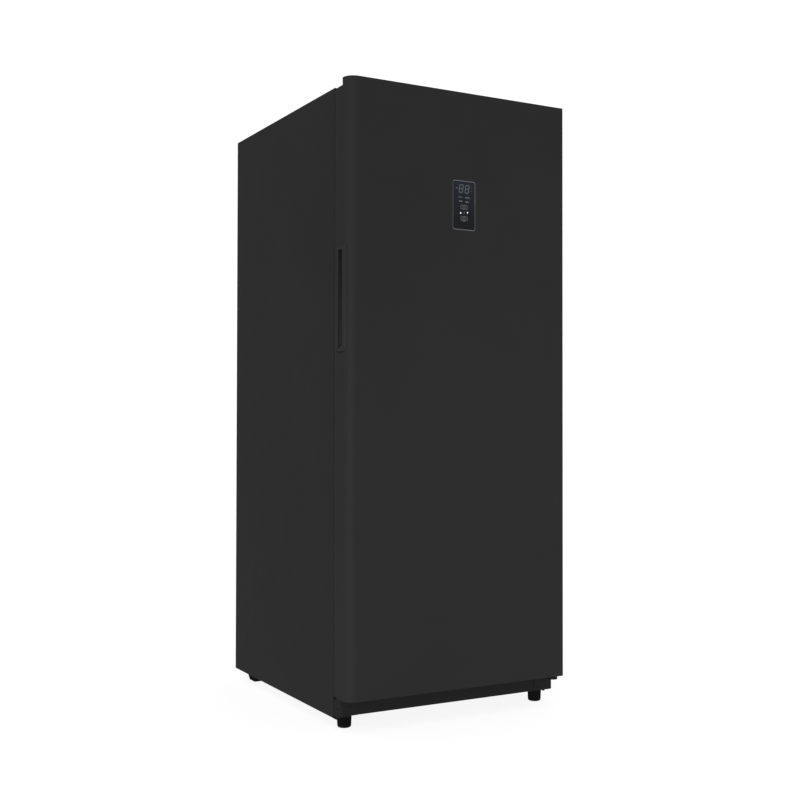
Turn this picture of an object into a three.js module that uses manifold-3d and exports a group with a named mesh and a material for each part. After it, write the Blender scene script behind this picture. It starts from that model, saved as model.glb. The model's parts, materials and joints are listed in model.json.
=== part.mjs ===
// Upright freezer with one right-hinged door, in millimetres, +Z up.
// The origin lies on the floor under the middle of the whole freezer, and the door faces -Y.
// A foamed steel cabinet holds a moulded liner, glass shelves, a pull-out basket and a cold-air unit.
// The compressor stands in a stepped compartment at the rear of the base.

import * as THREE from "three";
import { mergeVertices, toCreasedNormals } from "three/addons/utils/BufferGeometryUtils.js";
import Module from "manifold-3d";

const wasm = await Module();
wasm.setup();

// ---- Driving dimensions --------------------------------------------------------------------------------

// Cabinet case
const cabinetWidth = 630;
const cabinetDepth = 647; // front flange to rear edge of the side panels
const cabinetHeight = 1520; // lower edge of the side panels to the top panel
const cabinetLift = 27; // floor to the lower edge of the side panels
const sheet = 1; // steel sheet of the case and the door
const sheetBend = 2.5; // outer radius of the case's folded edges
const flangeWidth = 38; // front flange that the door seal meets
const seat = 0.3; // gap between a piece and what it rests on

// Cavity and liner
const sideWall = 52; // case face to cavity face
const topWall = 58;
const rearWall = 60;
const floorWall = 48; // deck to cavity floor
const linerSheet = 2;
const cavityCorner = 14;

// Base deck and machine compartment
const deckHeight = 46.5; // lower edge of the side panels to the deck's upper face
const deckSheet = 1.2;
const machineDepth = 210; // rear edge to the foot of the step
const machineHeight = 213; // lower edge of the side panels to the compartment's roof
const stepRun = 35; // how far the step leans back
const rearPlateLift = 15; // lower edge of the side panels to the rear cross plate
const rearPlateSheet = 1.5;
const rearPlateDepth = 182;
const rearPlateFlange = 16;

// Front rail, kick plate and corner brackets
const railSheet = 1.5;
const railLift = 13; // lower edge of the side panels to the rail's lower flange
const railDepth = 44;
const sillHeight = 35; // how far the rail stands over the deck, up to the liner
const kickStand = 21; // how far the kick plate stands in front of the case
const kickSheet = 2;
const kickLift = 5.6; // lower edge of the side panels to the kick plate
const kickGap = 5.5; // kick plate to the door's lower edge
const bracketWidth = 56;
const bracketSheet = 3;
const bracketSeam = 0.6;
const bracketNose = 15.5; // radius of the left bracket's outer corner, seen from above
const bracketToe = 38; // width of the left bracket's lower outer part
const bracketToeDrop = 7; // how far that part hangs under the rest of the bracket
const bracketToeCorner = 3;
const bracketHeadGap = 2; // left bracket to the door's lower edge
const hingeBracketNose = 2;
const hingeBracketCorner = 4; // lower outer corner of the right bracket
const tabInset = 26; // case side to the middle of the right bracket's tab
const tabWidth = 8;
const tabDrop = 2.5;

// Door
const doorStand = 73; // case front to door face
const doorThickness = 57;
const doorRise = 14; // top panel to the door's front lip
const doorStep = 18; // how far the rear of the door's top lies under the lip
const doorLipDepth = 31.5; // door face to the back of the lip
const doorLift = 49.5; // lower edge of the side panels to the door
const doorInset = 0.8; // door edge to the case side, which the handle frame fills
const handleCorner = 27.5; // radius of the door's handle-side edge
const hingeCorner = 1.5; // radius of the door's hinge-side edge
const skinReturn = 12; // folded strip at the back of the skin
const capHeight = 22; // moulded end caps
const capWall = 2.5;
const capInset = 1.5; // cap face under the edge of the skin's lip

// Door liner, seal and bins
const ridgeGap = 13; // ridge to the cavity sides
const ridgeWidth = 26;
const ridgeReach = 23; // how far the ridge enters the cavity
const ridgeCorner = 18;
const ridgeEdge = 5; // softened edge of the ridge
const sealInset = 14; // door edge to seal
const sealWidth = 18;
const sealFoot = 3.5; // thickness of the seal's foot and of its magnet strip
const sealNeck = 9;
const sealCorner = 10;
const sealSill = 17; // seal's lower run above the kick plate's top
const binCount = 4;
const binFirst = 223; // cavity floor to the first bin
const binPitch = 285;
const binHeight = 110;
const binDepth = 115;
const binWall = 2.4;
const binCorner = 22;
const binEarThickness = 6;
const lugHeight = 40;
const lugDepth = 18;
const lugRise = 30; // bin floor to the foot of its lugs

// Door hinge
const hingeInset = 13; // door edge to the hinge axis
const hingeSetback = 13; // door back to the hinge axis
const pinRadius = 4;
const pinPlay = 0.3;
const pinHead = 6.5;
const pinHeadThickness = 2;
const bushSleeve = 6;
const bushFlange = 9;
const bushLength = 18;
const bushPlay = 0.2;
const hingeNose = 11;
const topHingePlate = 4;
const topHingeWidth = 58;
const topHingeDepth = 46;
const lowHingePlate = 5;
const lowHingeNose = 12;
const lowHingeReach = 15; // stop tab in front of the pin
const hingeCoverHeight = 12;
const hingeCoverWall = 1.6;

// Pocket handle
const handleLift = 878.5; // lower edge of the side panels to the handle frame
const handleHeight = 254;
const handleProud = 0.8;
const handleWrap = 41; // frame width, from the door's back round towards its face
const handleCornerRadius = 12;
const slotLift = 6.5; // lower edge of the frame to the slot
const slotHeight = 238;
const slotWidth = 20.3;
const slotSetback = 6; // door back to the slot
const slotDepth = 26;
const slotRamp = 24; // height of the slot's sloping foot
const slotSlant = 8; // how much higher the foot is at the front than at the rear
const pocketWall = 2;

// Display
const displayWidth = 66.5;
const displayHeight = 123.5;
const displayDrop = 283.2; // door's top edge to the display's centre
const displayShift = 4.65; // display's centre to the middle of the door's flat face
const displayProud = 0.6;
const displayCorner = 6;
const displayRim = 2; // visible width of the rim
const displayLap = 0.4; // how far the rim laps the skin
const displayDepth = 17;
const windowThickness = 2.2;
const boardMargin = 4;
const boardThickness = 1.6;
const boardPost = 2.5; // radius of a post
const boardPostInset = 6; // edge of the card to a post's axis
const boardGap = 6; // card to the floor of its tray
const lampBlockDrop = 34; // upper posts to the lamp block's lower edge
const lampBlockHeight = 22;
const lampBlockDepth = 5;

// Shelves
const shelfCount = 4;
const shelfFirst = 203.5; // cavity floor to the first shelf
const shelfPitch = 280;
const shelfDepth = 375;
const shelfGlass = 4;
const shelfSideGap = 1.5;
const shelfTrimHeight = 18;
const shelfTrimDepth = 16;
const shelfTrimWall = 2.5;
const ledgeReach = 10;
const ledgeHeight = 9;

// Basket
const basketSideGap = 37.6;
const basketSetback = 67; // cavity mouth to the basket's front
const basketRearGap = 16;
const basketHeight = 174;
const basketWall = 2.5;
const basketCorner = 20;
const basketGripDepth = 9;
const basketGripHeight = 16;
const runnerThickness = 4;
const runnerWidth = 24;
const runnerLip = 14;

// Cold-air unit behind the shelves
const coverDepth = 78; // cavity rear to the cover's face
const coverSideGap = 23;
const coverWall = 3;
const coverTopGap = 60;
const ventWidth = 110;
const ventHeight = 7;
const ventPitch = 14;
const ventRows = 3;
const ventDrop = 60; // shelf to the vents under it
const returnCount = 14;
const returnHeight = 46;
const returnWidth = 9;
const fanRise = 510; // step to the fan's axis
const fanRadius = 52;
const fanHub = 17;
const fanHubLength = 18;
const fanBlades = 5;
const bladeChord = 34;
const bladeThickness = 2;
const fanSetback = 8; // cover to fan
const grilleRings = 3;
const grilleSlot = 8;
const grilleSpokes = 4;
const motorRadius = 28;
const motorArmGap = 14; // motor's side to the bracket's arm
const motorFoot = 20; // length of the bracket's foot
const motorLength = 24;
const shaftRadius = 2.5;
const shaftPlay = 0.3;
const coilWidth = 390;
const coilRise = 200; // step to the coil's lowest tube
const coilPasses = 4;
const coilPitch = 50;
const coilTube = 4.5;
const finCount = 6;
const finSheet = 1;
const finDepth = 50;
const heaterDrop = 34; // coil's lowest tube to the heater
const heaterTube = 3.5;
const drainBore = 6;
const drainWall = 2;
const drainFlange = 16;

// Lamp
const lampWidth = 180;
const lampDepth = 40;
const lampDrop = 9;
const lampSetback = 55;

// Compressor group
const compressorX = 55;
const compressorRadius = 68;
const compressorHeight = 138;
const compressorSpread = 1.16; // width over depth
const footPlateWidth = 190;
const footPlateDepth = 122;
const footPlateSheet = 3;
const grommetRadius = 11;
const grommetHeight = 12;
const trayWidth = 170;
const trayDepth = 118;
const trayHeight = 20;
const trayWall = 2;
const drierRadius = 11;
const drierLength = 120;
const pipeRadius = 3.5;
const pipeBend = 12;
const pipeCrossing = 20; // drier's upper end to the pipe's run across
const drierGap = 58; // compressor's shell to the drier's axis
const relayWidth = 34;
const relayDepth = 62;
const relayHeight = 70;
const controlWidth = 130;
const controlDepth = 110;
const controlHeight = 42;
const controlWall = 2;
const coverPlate = 1.6;
const louvreCount = 11;
const louvreHeight = 50;
const louvreWidth = 7;
const louvrePitch = 24;
const glandRadius = 9;
const glandBore = 4.5;
const glandInset = 60; // case side to the bush
const glandRise = 60; // lower edge of the cross plate to the bush
const backPanelInset = 1.6;
const beadWidth = 60;
const beadRise = 1.2;

// Feet
const footInset = 34.3; // case side to the axis of a levelling foot
const footSetback = 9; // case front to the axis of a levelling foot
const footRadius = 18;
const footTaper = 1;
const footHeight = 30;
const footEdge = 4; // softened edge of the sole
const studRadius = 5;
const studLength = 33;
const studPlay = 0.3;
const nutRadius = 11;
const nutHeight = 12;
const rearFootInset = 25;
const rearFootWidth = 40;
const rearFootSetback = 564; // case front to the rear foot's sole
const rearFootSole = 35;
const rearFootRake = 28;
const rearFootEdge = 0.6; // softened edge of the sole
const rearFootFlare = 6; // how much the front leans out up to the plate

// ---- Places that follow from them ----------------------------------------------------------------------

const overallDepth = cabinetDepth + doorStand + displayProud;
const rearY = overallDepth / 2;
const frontY = rearY - cabinetDepth;
const faceY = frontY - doorStand;
const doorBackY = faceY + doorThickness;
const sideX = cabinetWidth / 2;
const lowZ = cabinetLift;
const topZ = lowZ + cabinetHeight;

const deckZ = lowZ + deckHeight;
const roofZ = lowZ + machineHeight;
const stepFootY = rearY - machineDepth;
const stepHeadY = stepFootY + stepRun;
const cavityX = sideX - sideWall;
const cavityFloorZ = deckZ + floorWall;
const cavityTopZ = topZ - topWall;
const cavityRearY = rearY - rearWall;
const cavityStepZ = roofZ + floorWall;

const doorX = sideX - doorInset;
const doorTopZ = topZ + doorRise;
const doorRearTopZ = doorTopZ - doorStep;
const doorLowZ = lowZ + doorLift;
const lipY = faceY + doorLipDepth;
const hingeX = doorX - hingeInset;
const hingeY = doorBackY - hingeSetback;

const backPanelY = rearY - beadRise;
const kickTopZ = doorLowZ - kickGap;
const kickY = frontY - kickStand;
const railTopZ = deckZ + sillHeight;

// ---- Materials -----------------------------------------------------------------------------------------

const finish = (color, roughness, metalness) =>
  new THREE.MeshStandardMaterial({ color, roughness, metalness });
const charcoal = () => finish(0x2d2d2e, 0.42, 0.1);
const darkPlastic = () => finish(0x1f1f20, 0.55, 0);
const whitePlastic = () => finish(0xf1f2f0, 0.4, 0);
const zincSteel = () => finish(0xa9adb0, 0.45, 0.85);
const blackSteel = () => finish(0x1b1b1c, 0.5, 0.3);
const foam = () => finish(0xe6d9b0, 0.95, 0);
const rubber = () => finish(0x17181a, 0.85, 0);
const sealVinyl = () => finish(0x55585a, 0.7, 0);
const clearPlastic = () => finish(0xdfe9ee, 0.15, 0);
const glass = () => finish(0xcfe3e0, 0.08, 0);
const copper = () => finish(0xb46a3c, 0.35, 0.9);

// ---- Solids --------------------------------------------------------------------------------------------

// A closed geometry as a solid, with its faces turned outwards.
function solid(geometry) {
  const bare = new THREE.BufferGeometry();
  bare.setAttribute("position", geometry.getAttribute("position").clone());
  if (geometry.index) bare.setIndex(geometry.index.clone());
  const merged = mergeVertices(bare, 1e-4);
  const corners = merged.index.array;
  const whole = [];
  for (let i = 0; i < corners.length; i += 3) {
    const [a, b, c] = [corners[i], corners[i + 1], corners[i + 2]];
    if (a !== b && b !== c && c !== a) whole.push(a, b, c);
  }
  const build = (triVerts) => {
    const vertProperties = merged.attributes.position.array;
    return new wasm.Manifold(new wasm.Mesh({ numProp: 3, vertProperties, triVerts }));
  };
  const made = build(new Uint32Array(whole));
  return made.volume() < 0 ? build(new Uint32Array(whole.reverse())) : made;
}

const union = (first, ...rest) => rest.reduce((whole, part) => whole.add(part), first);
const cut = (first, ...rest) => rest.reduce((whole, part) => whole.subtract(part), first);
const common = (first, ...rest) => rest.reduce((whole, part) => whole.intersect(part), first);

function block(x0, x1, y0, y1, z0, z1) {
  const box = new THREE.BoxGeometry(x1 - x0, y1 - y0, z1 - z0);
  return solid(box.translate((x0 + x1) / 2, (y0 + y1) / 2, (z0 + z1) / 2));
}

// An outline extruded along one axis. It is drawn in (x, y), (x, z) or (y, z).
function extrude(outline, length, curveSegments) {
  return new THREE.ExtrudeGeometry(outline, { depth: length, bevelEnabled: false, curveSegments });
}

function alongZ(outline, z0, z1, curveSegments = 5) {
  return solid(extrude(outline, z1 - z0, curveSegments).translate(0, 0, z0));
}

function alongX(outline, x0, x1, curveSegments = 5) {
  const turn = new THREE.Matrix4().makeBasis(
    new THREE.Vector3(0, 1, 0),
    new THREE.Vector3(0, 0, 1),
    new THREE.Vector3(1, 0, 0),
  );
  return solid(extrude(outline, x1 - x0, curveSegments).applyMatrix4(turn).translate(x0, 0, 0));
}

function alongY(outline, y0, y1, curveSegments = 5) {
  const turn = new THREE.Matrix4().makeBasis(
    new THREE.Vector3(1, 0, 0),
    new THREE.Vector3(0, 0, 1),
    new THREE.Vector3(0, -1, 0),
  );
  return solid(extrude(outline, y1 - y0, curveSegments).applyMatrix4(turn).translate(0, y1, 0));
}

// A profile of [radius, height] pairs turned about the Z axis, then moved to x, y.
function turned(profile, x, y, segments = 20) {
  const points = profile.map(([radius, height]) => new THREE.Vector2(radius, height));
  points.push(points[0].clone());
  const lathe = new THREE.LatheGeometry(points, segments).rotateX(Math.PI / 2);
  return solid(lathe.translate(x, y, 0));
}

// The same about an axis along Y: heights run towards +Y.
function turnedY(profile, x, z, segments = 20) {
  const points = profile.map(([radius, height]) => new THREE.Vector2(radius, height));
  points.push(points[0].clone());
  return solid(new THREE.LatheGeometry(points, segments).translate(x, 0, z));
}

function polygon(points) {
  return new THREE.Shape(points.map(([a, b]) => new THREE.Vector2(a, b)));
}

// A rectangle with its own radius at each corner: low-low, high-low, high-high, low-high.
function rounded(a0, a1, b0, b1, radii) {
  const [ll, hl, hh, lh] = Array.isArray(radii) ? radii : [radii, radii, radii, radii];
  const outline = new THREE.Shape();
  outline.moveTo(a0 + ll, b0);
  outline.lineTo(a1 - hl, b0);
  if (hl) outline.absarc(a1 - hl, b0 + hl, hl, -Math.PI / 2, 0);
  outline.lineTo(a1, b1 - hh);
  if (hh) outline.absarc(a1 - hh, b1 - hh, hh, 0, Math.PI / 2);
  outline.lineTo(a0 + lh, b1);
  if (lh) outline.absarc(a0 + lh, b1 - lh, lh, Math.PI / 2, Math.PI);
  outline.lineTo(a0, b0 + ll);
  if (ll) outline.absarc(a0 + ll, b0 + ll, ll, Math.PI, 1.5 * Math.PI);
  return outline;
}

function circle(x, y, radius) {
  const outline = new THREE.Shape();
  outline.absarc(x, y, radius, 0, 2 * Math.PI);
  return outline;
}

// A round bore, with enough sides to clear what turns or stands in it.
const bore = (x, y, radius, z0, z1) => alongZ(circle(x, y, radius), z0, z1, 12);

// A round tube through points, with bends of the given radius.
function pipe(points, radius, bendRadius, sides = 8, bendSteps = 4) {
  const corners = points.map((p) => new THREE.Vector3(...p));
  const path = new THREE.CurvePath();
  let from = corners[0];
  for (let i = 1; i < corners.length - 1; i++) {
    const back = corners[i - 1].clone().sub(corners[i]).normalize().multiplyScalar(bendRadius);
    const on = corners[i + 1].clone().sub(corners[i]).normalize().multiplyScalar(bendRadius);
    const start = corners[i].clone().add(back);
    const end = corners[i].clone().add(on);
    path.add(new THREE.LineCurve3(from, start));
    path.add(new THREE.QuadraticBezierCurve3(start, corners[i], end));
    from = end;
  }
  path.add(new THREE.LineCurve3(from, corners[corners.length - 1]));
  const samples = [];
  for (const piece of path.curves) {
    const steps = piece.isLineCurve3 ? 1 : bendSteps;
    piece.getPoints(steps).forEach((p) => {
      if (!samples.length || samples[samples.length - 1].distanceTo(p) > 0.01) samples.push(p);
    });
  }
  return sweep(samples, radius, sides);
}

// A tube through the given samples, carried round by parallel frames and closed at both ends.
function sweep(samples, radius, sides) {
  const tangent = (i) => {
    const ahead = samples[Math.min(i + 1, samples.length - 1)];
    const behind = samples[Math.max(i - 1, 0)];
    return ahead.clone().sub(behind).normalize();
  };
  let along = tangent(0);
  let side = new THREE.Vector3(0.3, 0.5, 0.81).cross(along).normalize();
  const rings = samples.map((centre, i) => {
    const next = tangent(i);
    const turn = new THREE.Quaternion().setFromUnitVectors(along, next);
    side = side.applyQuaternion(turn).normalize();
    along = next;
    const up = along.clone().cross(side);
    return Array.from({ length: sides }, (_, k) => {
      const angle = (2 * Math.PI * k) / sides;
      const out = side.clone().multiplyScalar(Math.cos(angle) * radius);
      return centre.clone().add(out).add(up.clone().multiplyScalar(Math.sin(angle) * radius));
    });
  });
  return loft(rings);
}

// A solid through rings of points that correspond, with a flat cap at each end.
function loft(rings) {
  const count = rings[0].length;
  const positions = rings.flat().flatMap((p) => [p.x, p.y, p.z]);
  const faces = [];
  for (let i = 0; i + 1 < rings.length; i++) {
    for (let k = 0; k < count; k++) {
      const a = i * count + k;
      const b = i * count + ((k + 1) % count);
      faces.push(a, b, b + count, a, b + count, a + count);
    }
  }
  const last = (rings.length - 1) * count;
  for (let k = 1; k + 1 < count; k++) {
    faces.push(0, k + 1, k, last, last + k, last + k + 1);
  }
  const geometry = new THREE.BufferGeometry();
  geometry.setAttribute("position", new THREE.Float32BufferAttribute(positions, 3));
  geometry.setIndex(faces);
  return solid(geometry);
}

// ---- The assembly --------------------------------------------------------------------------------------

const freezer = new THREE.Group();
const cabinetGroup = new THREE.Group();
const doorGroup = new THREE.Group();
freezer.add(cabinetGroup, doorGroup);

function piece(group, name, body, material) {
  const { vertProperties, triVerts } = body.getMesh();
  const geometry = new THREE.BufferGeometry();
  geometry.setAttribute("position", new THREE.BufferAttribute(new Float32Array(vertProperties), 3));
  geometry.setIndex(new THREE.BufferAttribute(new Uint32Array(triVerts), 1));
  const mesh = new THREE.Mesh(toCreasedNormals(geometry, Math.PI / 6), material);
  mesh.name = name;
  group.add(mesh);
}

// ---- Cabinet case --------------------------------------------------------------------------------------

// The case as a full block, drawn in by an inset, with its front and top edges bent round.
function caseBlock(inset, rear, bottom) {
  const bend = sheetBend - inset;
  const x = sideX - inset;
  const y = frontY + inset;
  const z = topZ - inset;
  return common(
    alongZ(rounded(-x, x, y, rear, [bend, bend, 0, 0]), bottom, z, 3),
    alongY(rounded(-x, x, bottom, z, [0, 0, bend, bend]), y, rear, 3),
    alongX(rounded(y, rear, bottom, z, [0, 0, 0, bend]), -x, x, 3),
  );
}

function caseShell() {
  const mouth = sideX - flangeWidth;
  return cut(
    caseBlock(0, rearY, lowZ),
    caseBlock(sheet, rearY + sheet, lowZ - sheet),
    block(-mouth, mouth, frontY - 1, frontY + 2 * sheet, lowZ - 1, topZ - flangeWidth),
    block(sheet - sideX, sideX - sheet, frontY - 1, frontY + 2 * sheet, lowZ - 1, deckZ - seat),
  );
}

// The line of the deck in (y, z), moved towards the cavity by an offset.
function deckLine(offset, startY, endY) {
  const length = Math.hypot(stepRun, roofZ - deckZ);
  const lean = stepRun / length;
  const rise = (roofZ - deckZ) / length;
  const shift = offset * (-rise + ((1 - lean) * lean) / rise);
  return [
    [startY, deckZ + offset],
    [stepFootY + shift, deckZ + offset],
    [stepHeadY + shift, roofZ + offset],
    [endY, roofZ + offset],
  ];
}

// Everything over the deck line, up to a top height.
function overDeck(offset, startY, endY, top) {
  return polygon([...deckLine(offset, startY, endY), [endY, top], [startY, top]]);
}

const drainX = compressorX - 25;
const drainY = cavityRearY - coverDepth / 2;

const drainHole = () =>
  bore(drainX, drainY, drainBore + drainWall + seat, lowZ, cavityStepZ + 1);

function deckPanel() {
  const x = sideX - sheet - seat;
  const start = frontY + railSheet + seat;
  const end = backPanelY - backPanelInset - seat;
  const upper = deckLine(0, start, end);
  const lower = deckLine(-deckSheet, start, end).reverse();
  return cut(alongX(polygon([...upper, ...lower]), -x, x), drainHole());
}

function linerShell() {
  const outerX = cavityX + linerSheet;
  const grow = linerSheet;
  const mouthX = sideX - flangeWidth - seat;
  const mouthTop = topZ - flangeWidth - seat;
  const room = (wallOff, front) => {
    const x = cavityX + wallOff;
    const top = cavityTopZ + wallOff;
    const floor = cavityFloorZ - wallOff;
    const rear = cavityRearY + wallOff;
    return common(
      alongX(overDeck(floorWall - wallOff, front, rear, top), -x, x),
      alongY(rounded(-x, x, floor, top, cavityCorner + wallOff), front, rear, 4),
    );
  };
  const tub = room(grow, frontY);
  const flange = block(-mouthX, mouthX, frontY, frontY + linerSheet, railTopZ + seat, mouthTop);
  const ledges = [];
  for (let i = 0; i < shelfCount; i++) {
    const z = cavityFloorZ + shelfFirst + i * shelfPitch;
    for (const side of [-1, 1]) {
      const inner = side * (cavityX - ledgeReach);
      const wall = side * (outerX - linerSheet / 2);
      const [x0, x1] = [Math.min(inner, wall), Math.max(inner, wall)];
      const outline = rounded(shelfFrontY, shelfRearY, z - ledgeHeight, z, [3, 3, 0, 0]);
      ledges.push(alongX(outline, x0, x1, 1));
    }
  }
  return cut(union(cut(union(tub, flange), room(0, frontY - 1)), ...ledges), drainHole());
}

function insulation() {
  const x = sideX - sheet - seat;
  const start = frontY + Math.max(sheet, railSheet, linerSheet) + seat;
  const end = backPanelY - backPanelInset - seat;
  const gap = linerSheet + seat;
  const hollowX = cavityX + gap;
  const top = topZ - sheet - seat;
  const fill = common(
    alongX(overDeck(seat, start, end, top), -x, x),
    alongY(rounded(-x, x, deckZ, top, [0, 0, sheetBend, sheetBend]), start - 1, end + 1, 3),
  );
  const room = overDeck(floorWall - gap, start - 1, cavityRearY + gap, cavityTopZ + gap);
  return cut(fill, alongX(room, -hollowX, hollowX), drainHole());
}

function backPanel() {
  const x = sideX - sheet - seat;
  const y0 = backPanelY - backPanelInset;
  const plan = rounded(-x, x, roofZ + seat, topZ - sheet - seat, [0, 0, sheetBend, sheetBend]);
  const panel = alongY(plan, y0, backPanelY, 3);
  const beads = [];
  const runs = 3;
  for (let i = 0; i < runs; i++) {
    const centre = ((i - (runs - 1) / 2) * cabinetWidth) / (runs + 0.5);
    const low = roofZ + beadWidth;
    const high = topZ - beadWidth;
    const outline = rounded(centre - beadWidth / 2, centre + beadWidth / 2, low, high, beadWidth / 2);
    beads.push(alongY(outline, y0 + backPanelInset / 2, rearY, 3));
  }
  return union(panel, ...beads);
}

// ---- Base ----------------------------------------------------------------------------------------------

const footX = sideX - footInset;
const footY = frontY + footSetback;

function frontRail() {
  const x = sideX - sheet - seat;
  const z0 = lowZ + railLift;
  const web = [frontY, frontY + railSheet];
  const profile = polygon([
    [web[0], z0],
    [frontY + railDepth, z0],
    [frontY + railDepth, z0 + railSheet],
    [web[1], z0 + railSheet],
    [web[1], deckZ - deckSheet - railSheet - seat],
    [frontY + railDepth, deckZ - deckSheet - railSheet - seat],
    [frontY + railDepth, deckZ - deckSheet - seat],
    [web[1], deckZ - deckSheet - seat],
    [web[1], railTopZ],
    [web[0], railTopZ],
  ]);
  const shoulder = sideX - flangeWidth - seat;
  const nuts = [-footX, footX].map((nutX) =>
    turned([[0, z0], [nutRadius, z0], [nutRadius, z0 + nutHeight], [0, z0 + nutHeight]], nutX, footY, 6),
  );
  const bores = [-footX, footX].map((nutX) =>
    bore(nutX, footY, studRadius + studPlay, z0 - 1, z0 + nutHeight + 1),
  );
  const clearZ = deckZ - 2 * seat;
  return cut(
    union(alongX(profile, -x, x), ...nuts),
    ...bores,
    block(shoulder, sideX, frontY - 1, frontY + 2, clearZ, railTopZ + 1),
    block(-sideX, -shoulder, frontY - 1, frontY + 2, clearZ, railTopZ + 1),
  );
}

const bracketInnerX = sideX - bracketWidth;

function kickPlate() {
  const x = bracketInnerX - bracketSeam;
  const z0 = lowZ + kickLift;
  const back = frontY - seat;
  const profile = polygon([
    [kickY, z0 + 1],
    [kickY + 1, z0],
    [back, z0],
    [back, z0 + kickSheet],
    [kickY + kickSheet, z0 + kickSheet],
    [kickY + kickSheet, kickTopZ - kickSheet],
    [back, kickTopZ - kickSheet],
    [back, kickTopZ],
    [kickY + 1, kickTopZ],
    [kickY, kickTopZ - 1],
  ]);
  return alongX(profile, -x, x);
}

// A pressed corner bracket: front plate, outer cheek and top shelf, trimmed to its outline in front view.
function cornerBracket(side, nose, shelf, topOfShelf, outline) {
  const outer = sideX - seat;
  const back = frontY - seat;
  const t = bracketSheet;
  const across = (a, b) => (side > 0 ? [a, b] : [-b, -a]);
  const corners = (radius) => (side > 0 ? [0, radius, 0, 0] : [radius, 0, 0, 0]);
  const [x0, x1] = across(bracketInnerX, outer);
  const [roomX0, roomX1] = across(bracketInnerX - 1, outer - t);
  const body = rounded(x0, x1, kickY, back, corners(nose));
  const room = rounded(roomX0, roomX1, kickY + t, back + 1, corners(Math.max(nose - t, 0)));
  const low = lowZ - bracketToeDrop;
  const pressed = cut(
    alongZ(body, low, topOfShelf, 4),
    alongZ(room, low - 1, topOfShelf - shelf, 4),
  );
  return common(pressed, alongY(outline, kickY - 1, back + 1, 3));
}

// The left bracket: its outer part hangs lower than the kick plate.
function leftCornerBracket() {
  const outer = -sideX + seat;
  const toe = outer + bracketToe;
  const low = lowZ + kickLift;
  const toeLow = low - bracketToeDrop;
  const top = doorLowZ - bracketHeadGap;
  const outline = new THREE.Shape();
  outline.moveTo(-bracketInnerX, top);
  outline.lineTo(outer, top);
  outline.lineTo(outer, toeLow + bracketToeCorner);
  outline.quadraticCurveTo(outer, toeLow, outer + bracketToeCorner, toeLow);
  outline.lineTo(toe, toeLow);
  outline.lineTo(toe, low);
  outline.lineTo(-bracketInnerX, low);
  return cornerBracket(-1, bracketNose, bracketSheet, top, outline);
}

const lowShelfZ = doorLowZ - kickGap - 1.5;

// The right bracket carries the arm of the lower hinge and has a small tab under its plate.
function lowHingeBracket() {
  const low = lowZ + kickLift;
  const outer = sideX - seat;
  const tab = sideX - tabInset;
  const half = tabWidth / 2;
  const outline = new THREE.Shape();
  outline.moveTo(bracketInnerX, low);
  outline.lineTo(tab - half, low);
  outline.lineTo(tab - half + 1, low - tabDrop);
  outline.lineTo(tab + half - 1, low - tabDrop);
  outline.lineTo(tab + half, low);
  outline.lineTo(outer - hingeBracketCorner, low);
  outline.quadraticCurveTo(outer, low, outer, low + hingeBracketCorner);
  outline.lineTo(outer, lowShelfZ);
  outline.lineTo(bracketInnerX, lowShelfZ);
  const arm = new THREE.Shape();
  const left = hingeX - lowHingeNose;
  const right = Math.min(hingeX + lowHingeNose, sideX - seat);
  const nose = hingeY - lowHingeReach;
  arm.moveTo(left, kickY + 2);
  arm.lineTo(left, nose);
  arm.quadraticCurveTo(left, nose - lowHingeNose, hingeX, nose - lowHingeNose);
  arm.quadraticCurveTo(right, nose - lowHingeNose, right, nose);
  arm.lineTo(right, kickY + 2);
  const armLow = lowShelfZ - lowHingePlate;
  const bracket = cornerBracket(1, hingeBracketNose, lowHingePlate, lowShelfZ, outline);
  return cut(
    union(bracket, alongZ(arm, armLow, lowShelfZ, 4)),
    bore(hingeX, hingeY, pinRadius + seat, armLow - 1, lowShelfZ + 1),
  );
}

function rearCrossPlate() {
  const x = sideX - sheet - seat;
  const z0 = lowZ + rearPlateLift;
  const y1 = backPanelY - backPanelInset - seat;
  const y0 = y1 - rearPlateDepth;
  const profile = polygon([
    [y0, z0],
    [y1, z0],
    [y1, z0 + rearPlateFlange],
    [y1 - rearPlateSheet, z0 + rearPlateFlange],
    [y1 - rearPlateSheet, z0 + rearPlateSheet],
    [y0 + rearPlateSheet, z0 + rearPlateSheet],
    [y0 + rearPlateSheet, z0 + rearPlateFlange],
    [y0, z0 + rearPlateFlange],
  ]);
  return alongX(profile, -x, x);
}

function levellingFoot(x) {
  const low = footRadius - footTaper;
  const profile = [
    [0, 0],
    [low - footEdge, 0],
    [low - footEdge * 0.3, footEdge * 0.3],
    [low, footEdge],
    [footRadius, footHeight - 1],
    [footRadius - 1, footHeight],
    [studRadius, footHeight],
    [studRadius, footHeight + studLength - 1],
    [studRadius - 1, footHeight + studLength],
    [0, footHeight + studLength],
  ];
  return turned(profile, x, footY, 18);
}

function rearFoot(side) {
  const y0 = frontY + rearFootSetback;
  const y1 = y0 + rearFootSole;
  const top = lowZ + rearPlateLift - seat;
  const outline = polygon([
    [y0 + rearFootEdge, 0],
    [y1, 0],
    [y1 + rearFootRake, lowZ],
    [y1 + rearFootRake, top],
    [y0 - rearFootFlare, top],
    [y0 - rearFootFlare * 0.66, lowZ],
    [y0, rearFootEdge],
  ]);
  const outer = sideX - rearFootInset;
  const inner = outer - rearFootWidth;
  const body = side > 0 ? alongX(outline, inner, outer) : alongX(outline, -outer, -inner);
  const mid = (side * (inner + outer)) / 2;
  const half = rearFootWidth / 2;
  const taper = polygon([
    [mid - half + rearFootEdge, 0],
    [mid + half - rearFootEdge, 0],
    [mid + half, rearFootEdge],
    [mid + half, top],
    [mid - half, top],
    [mid - half, rearFootEdge],
  ]);
  return common(body, alongY(taper, y0 - 10, y1 + rearFootRake + 1));
}

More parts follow.
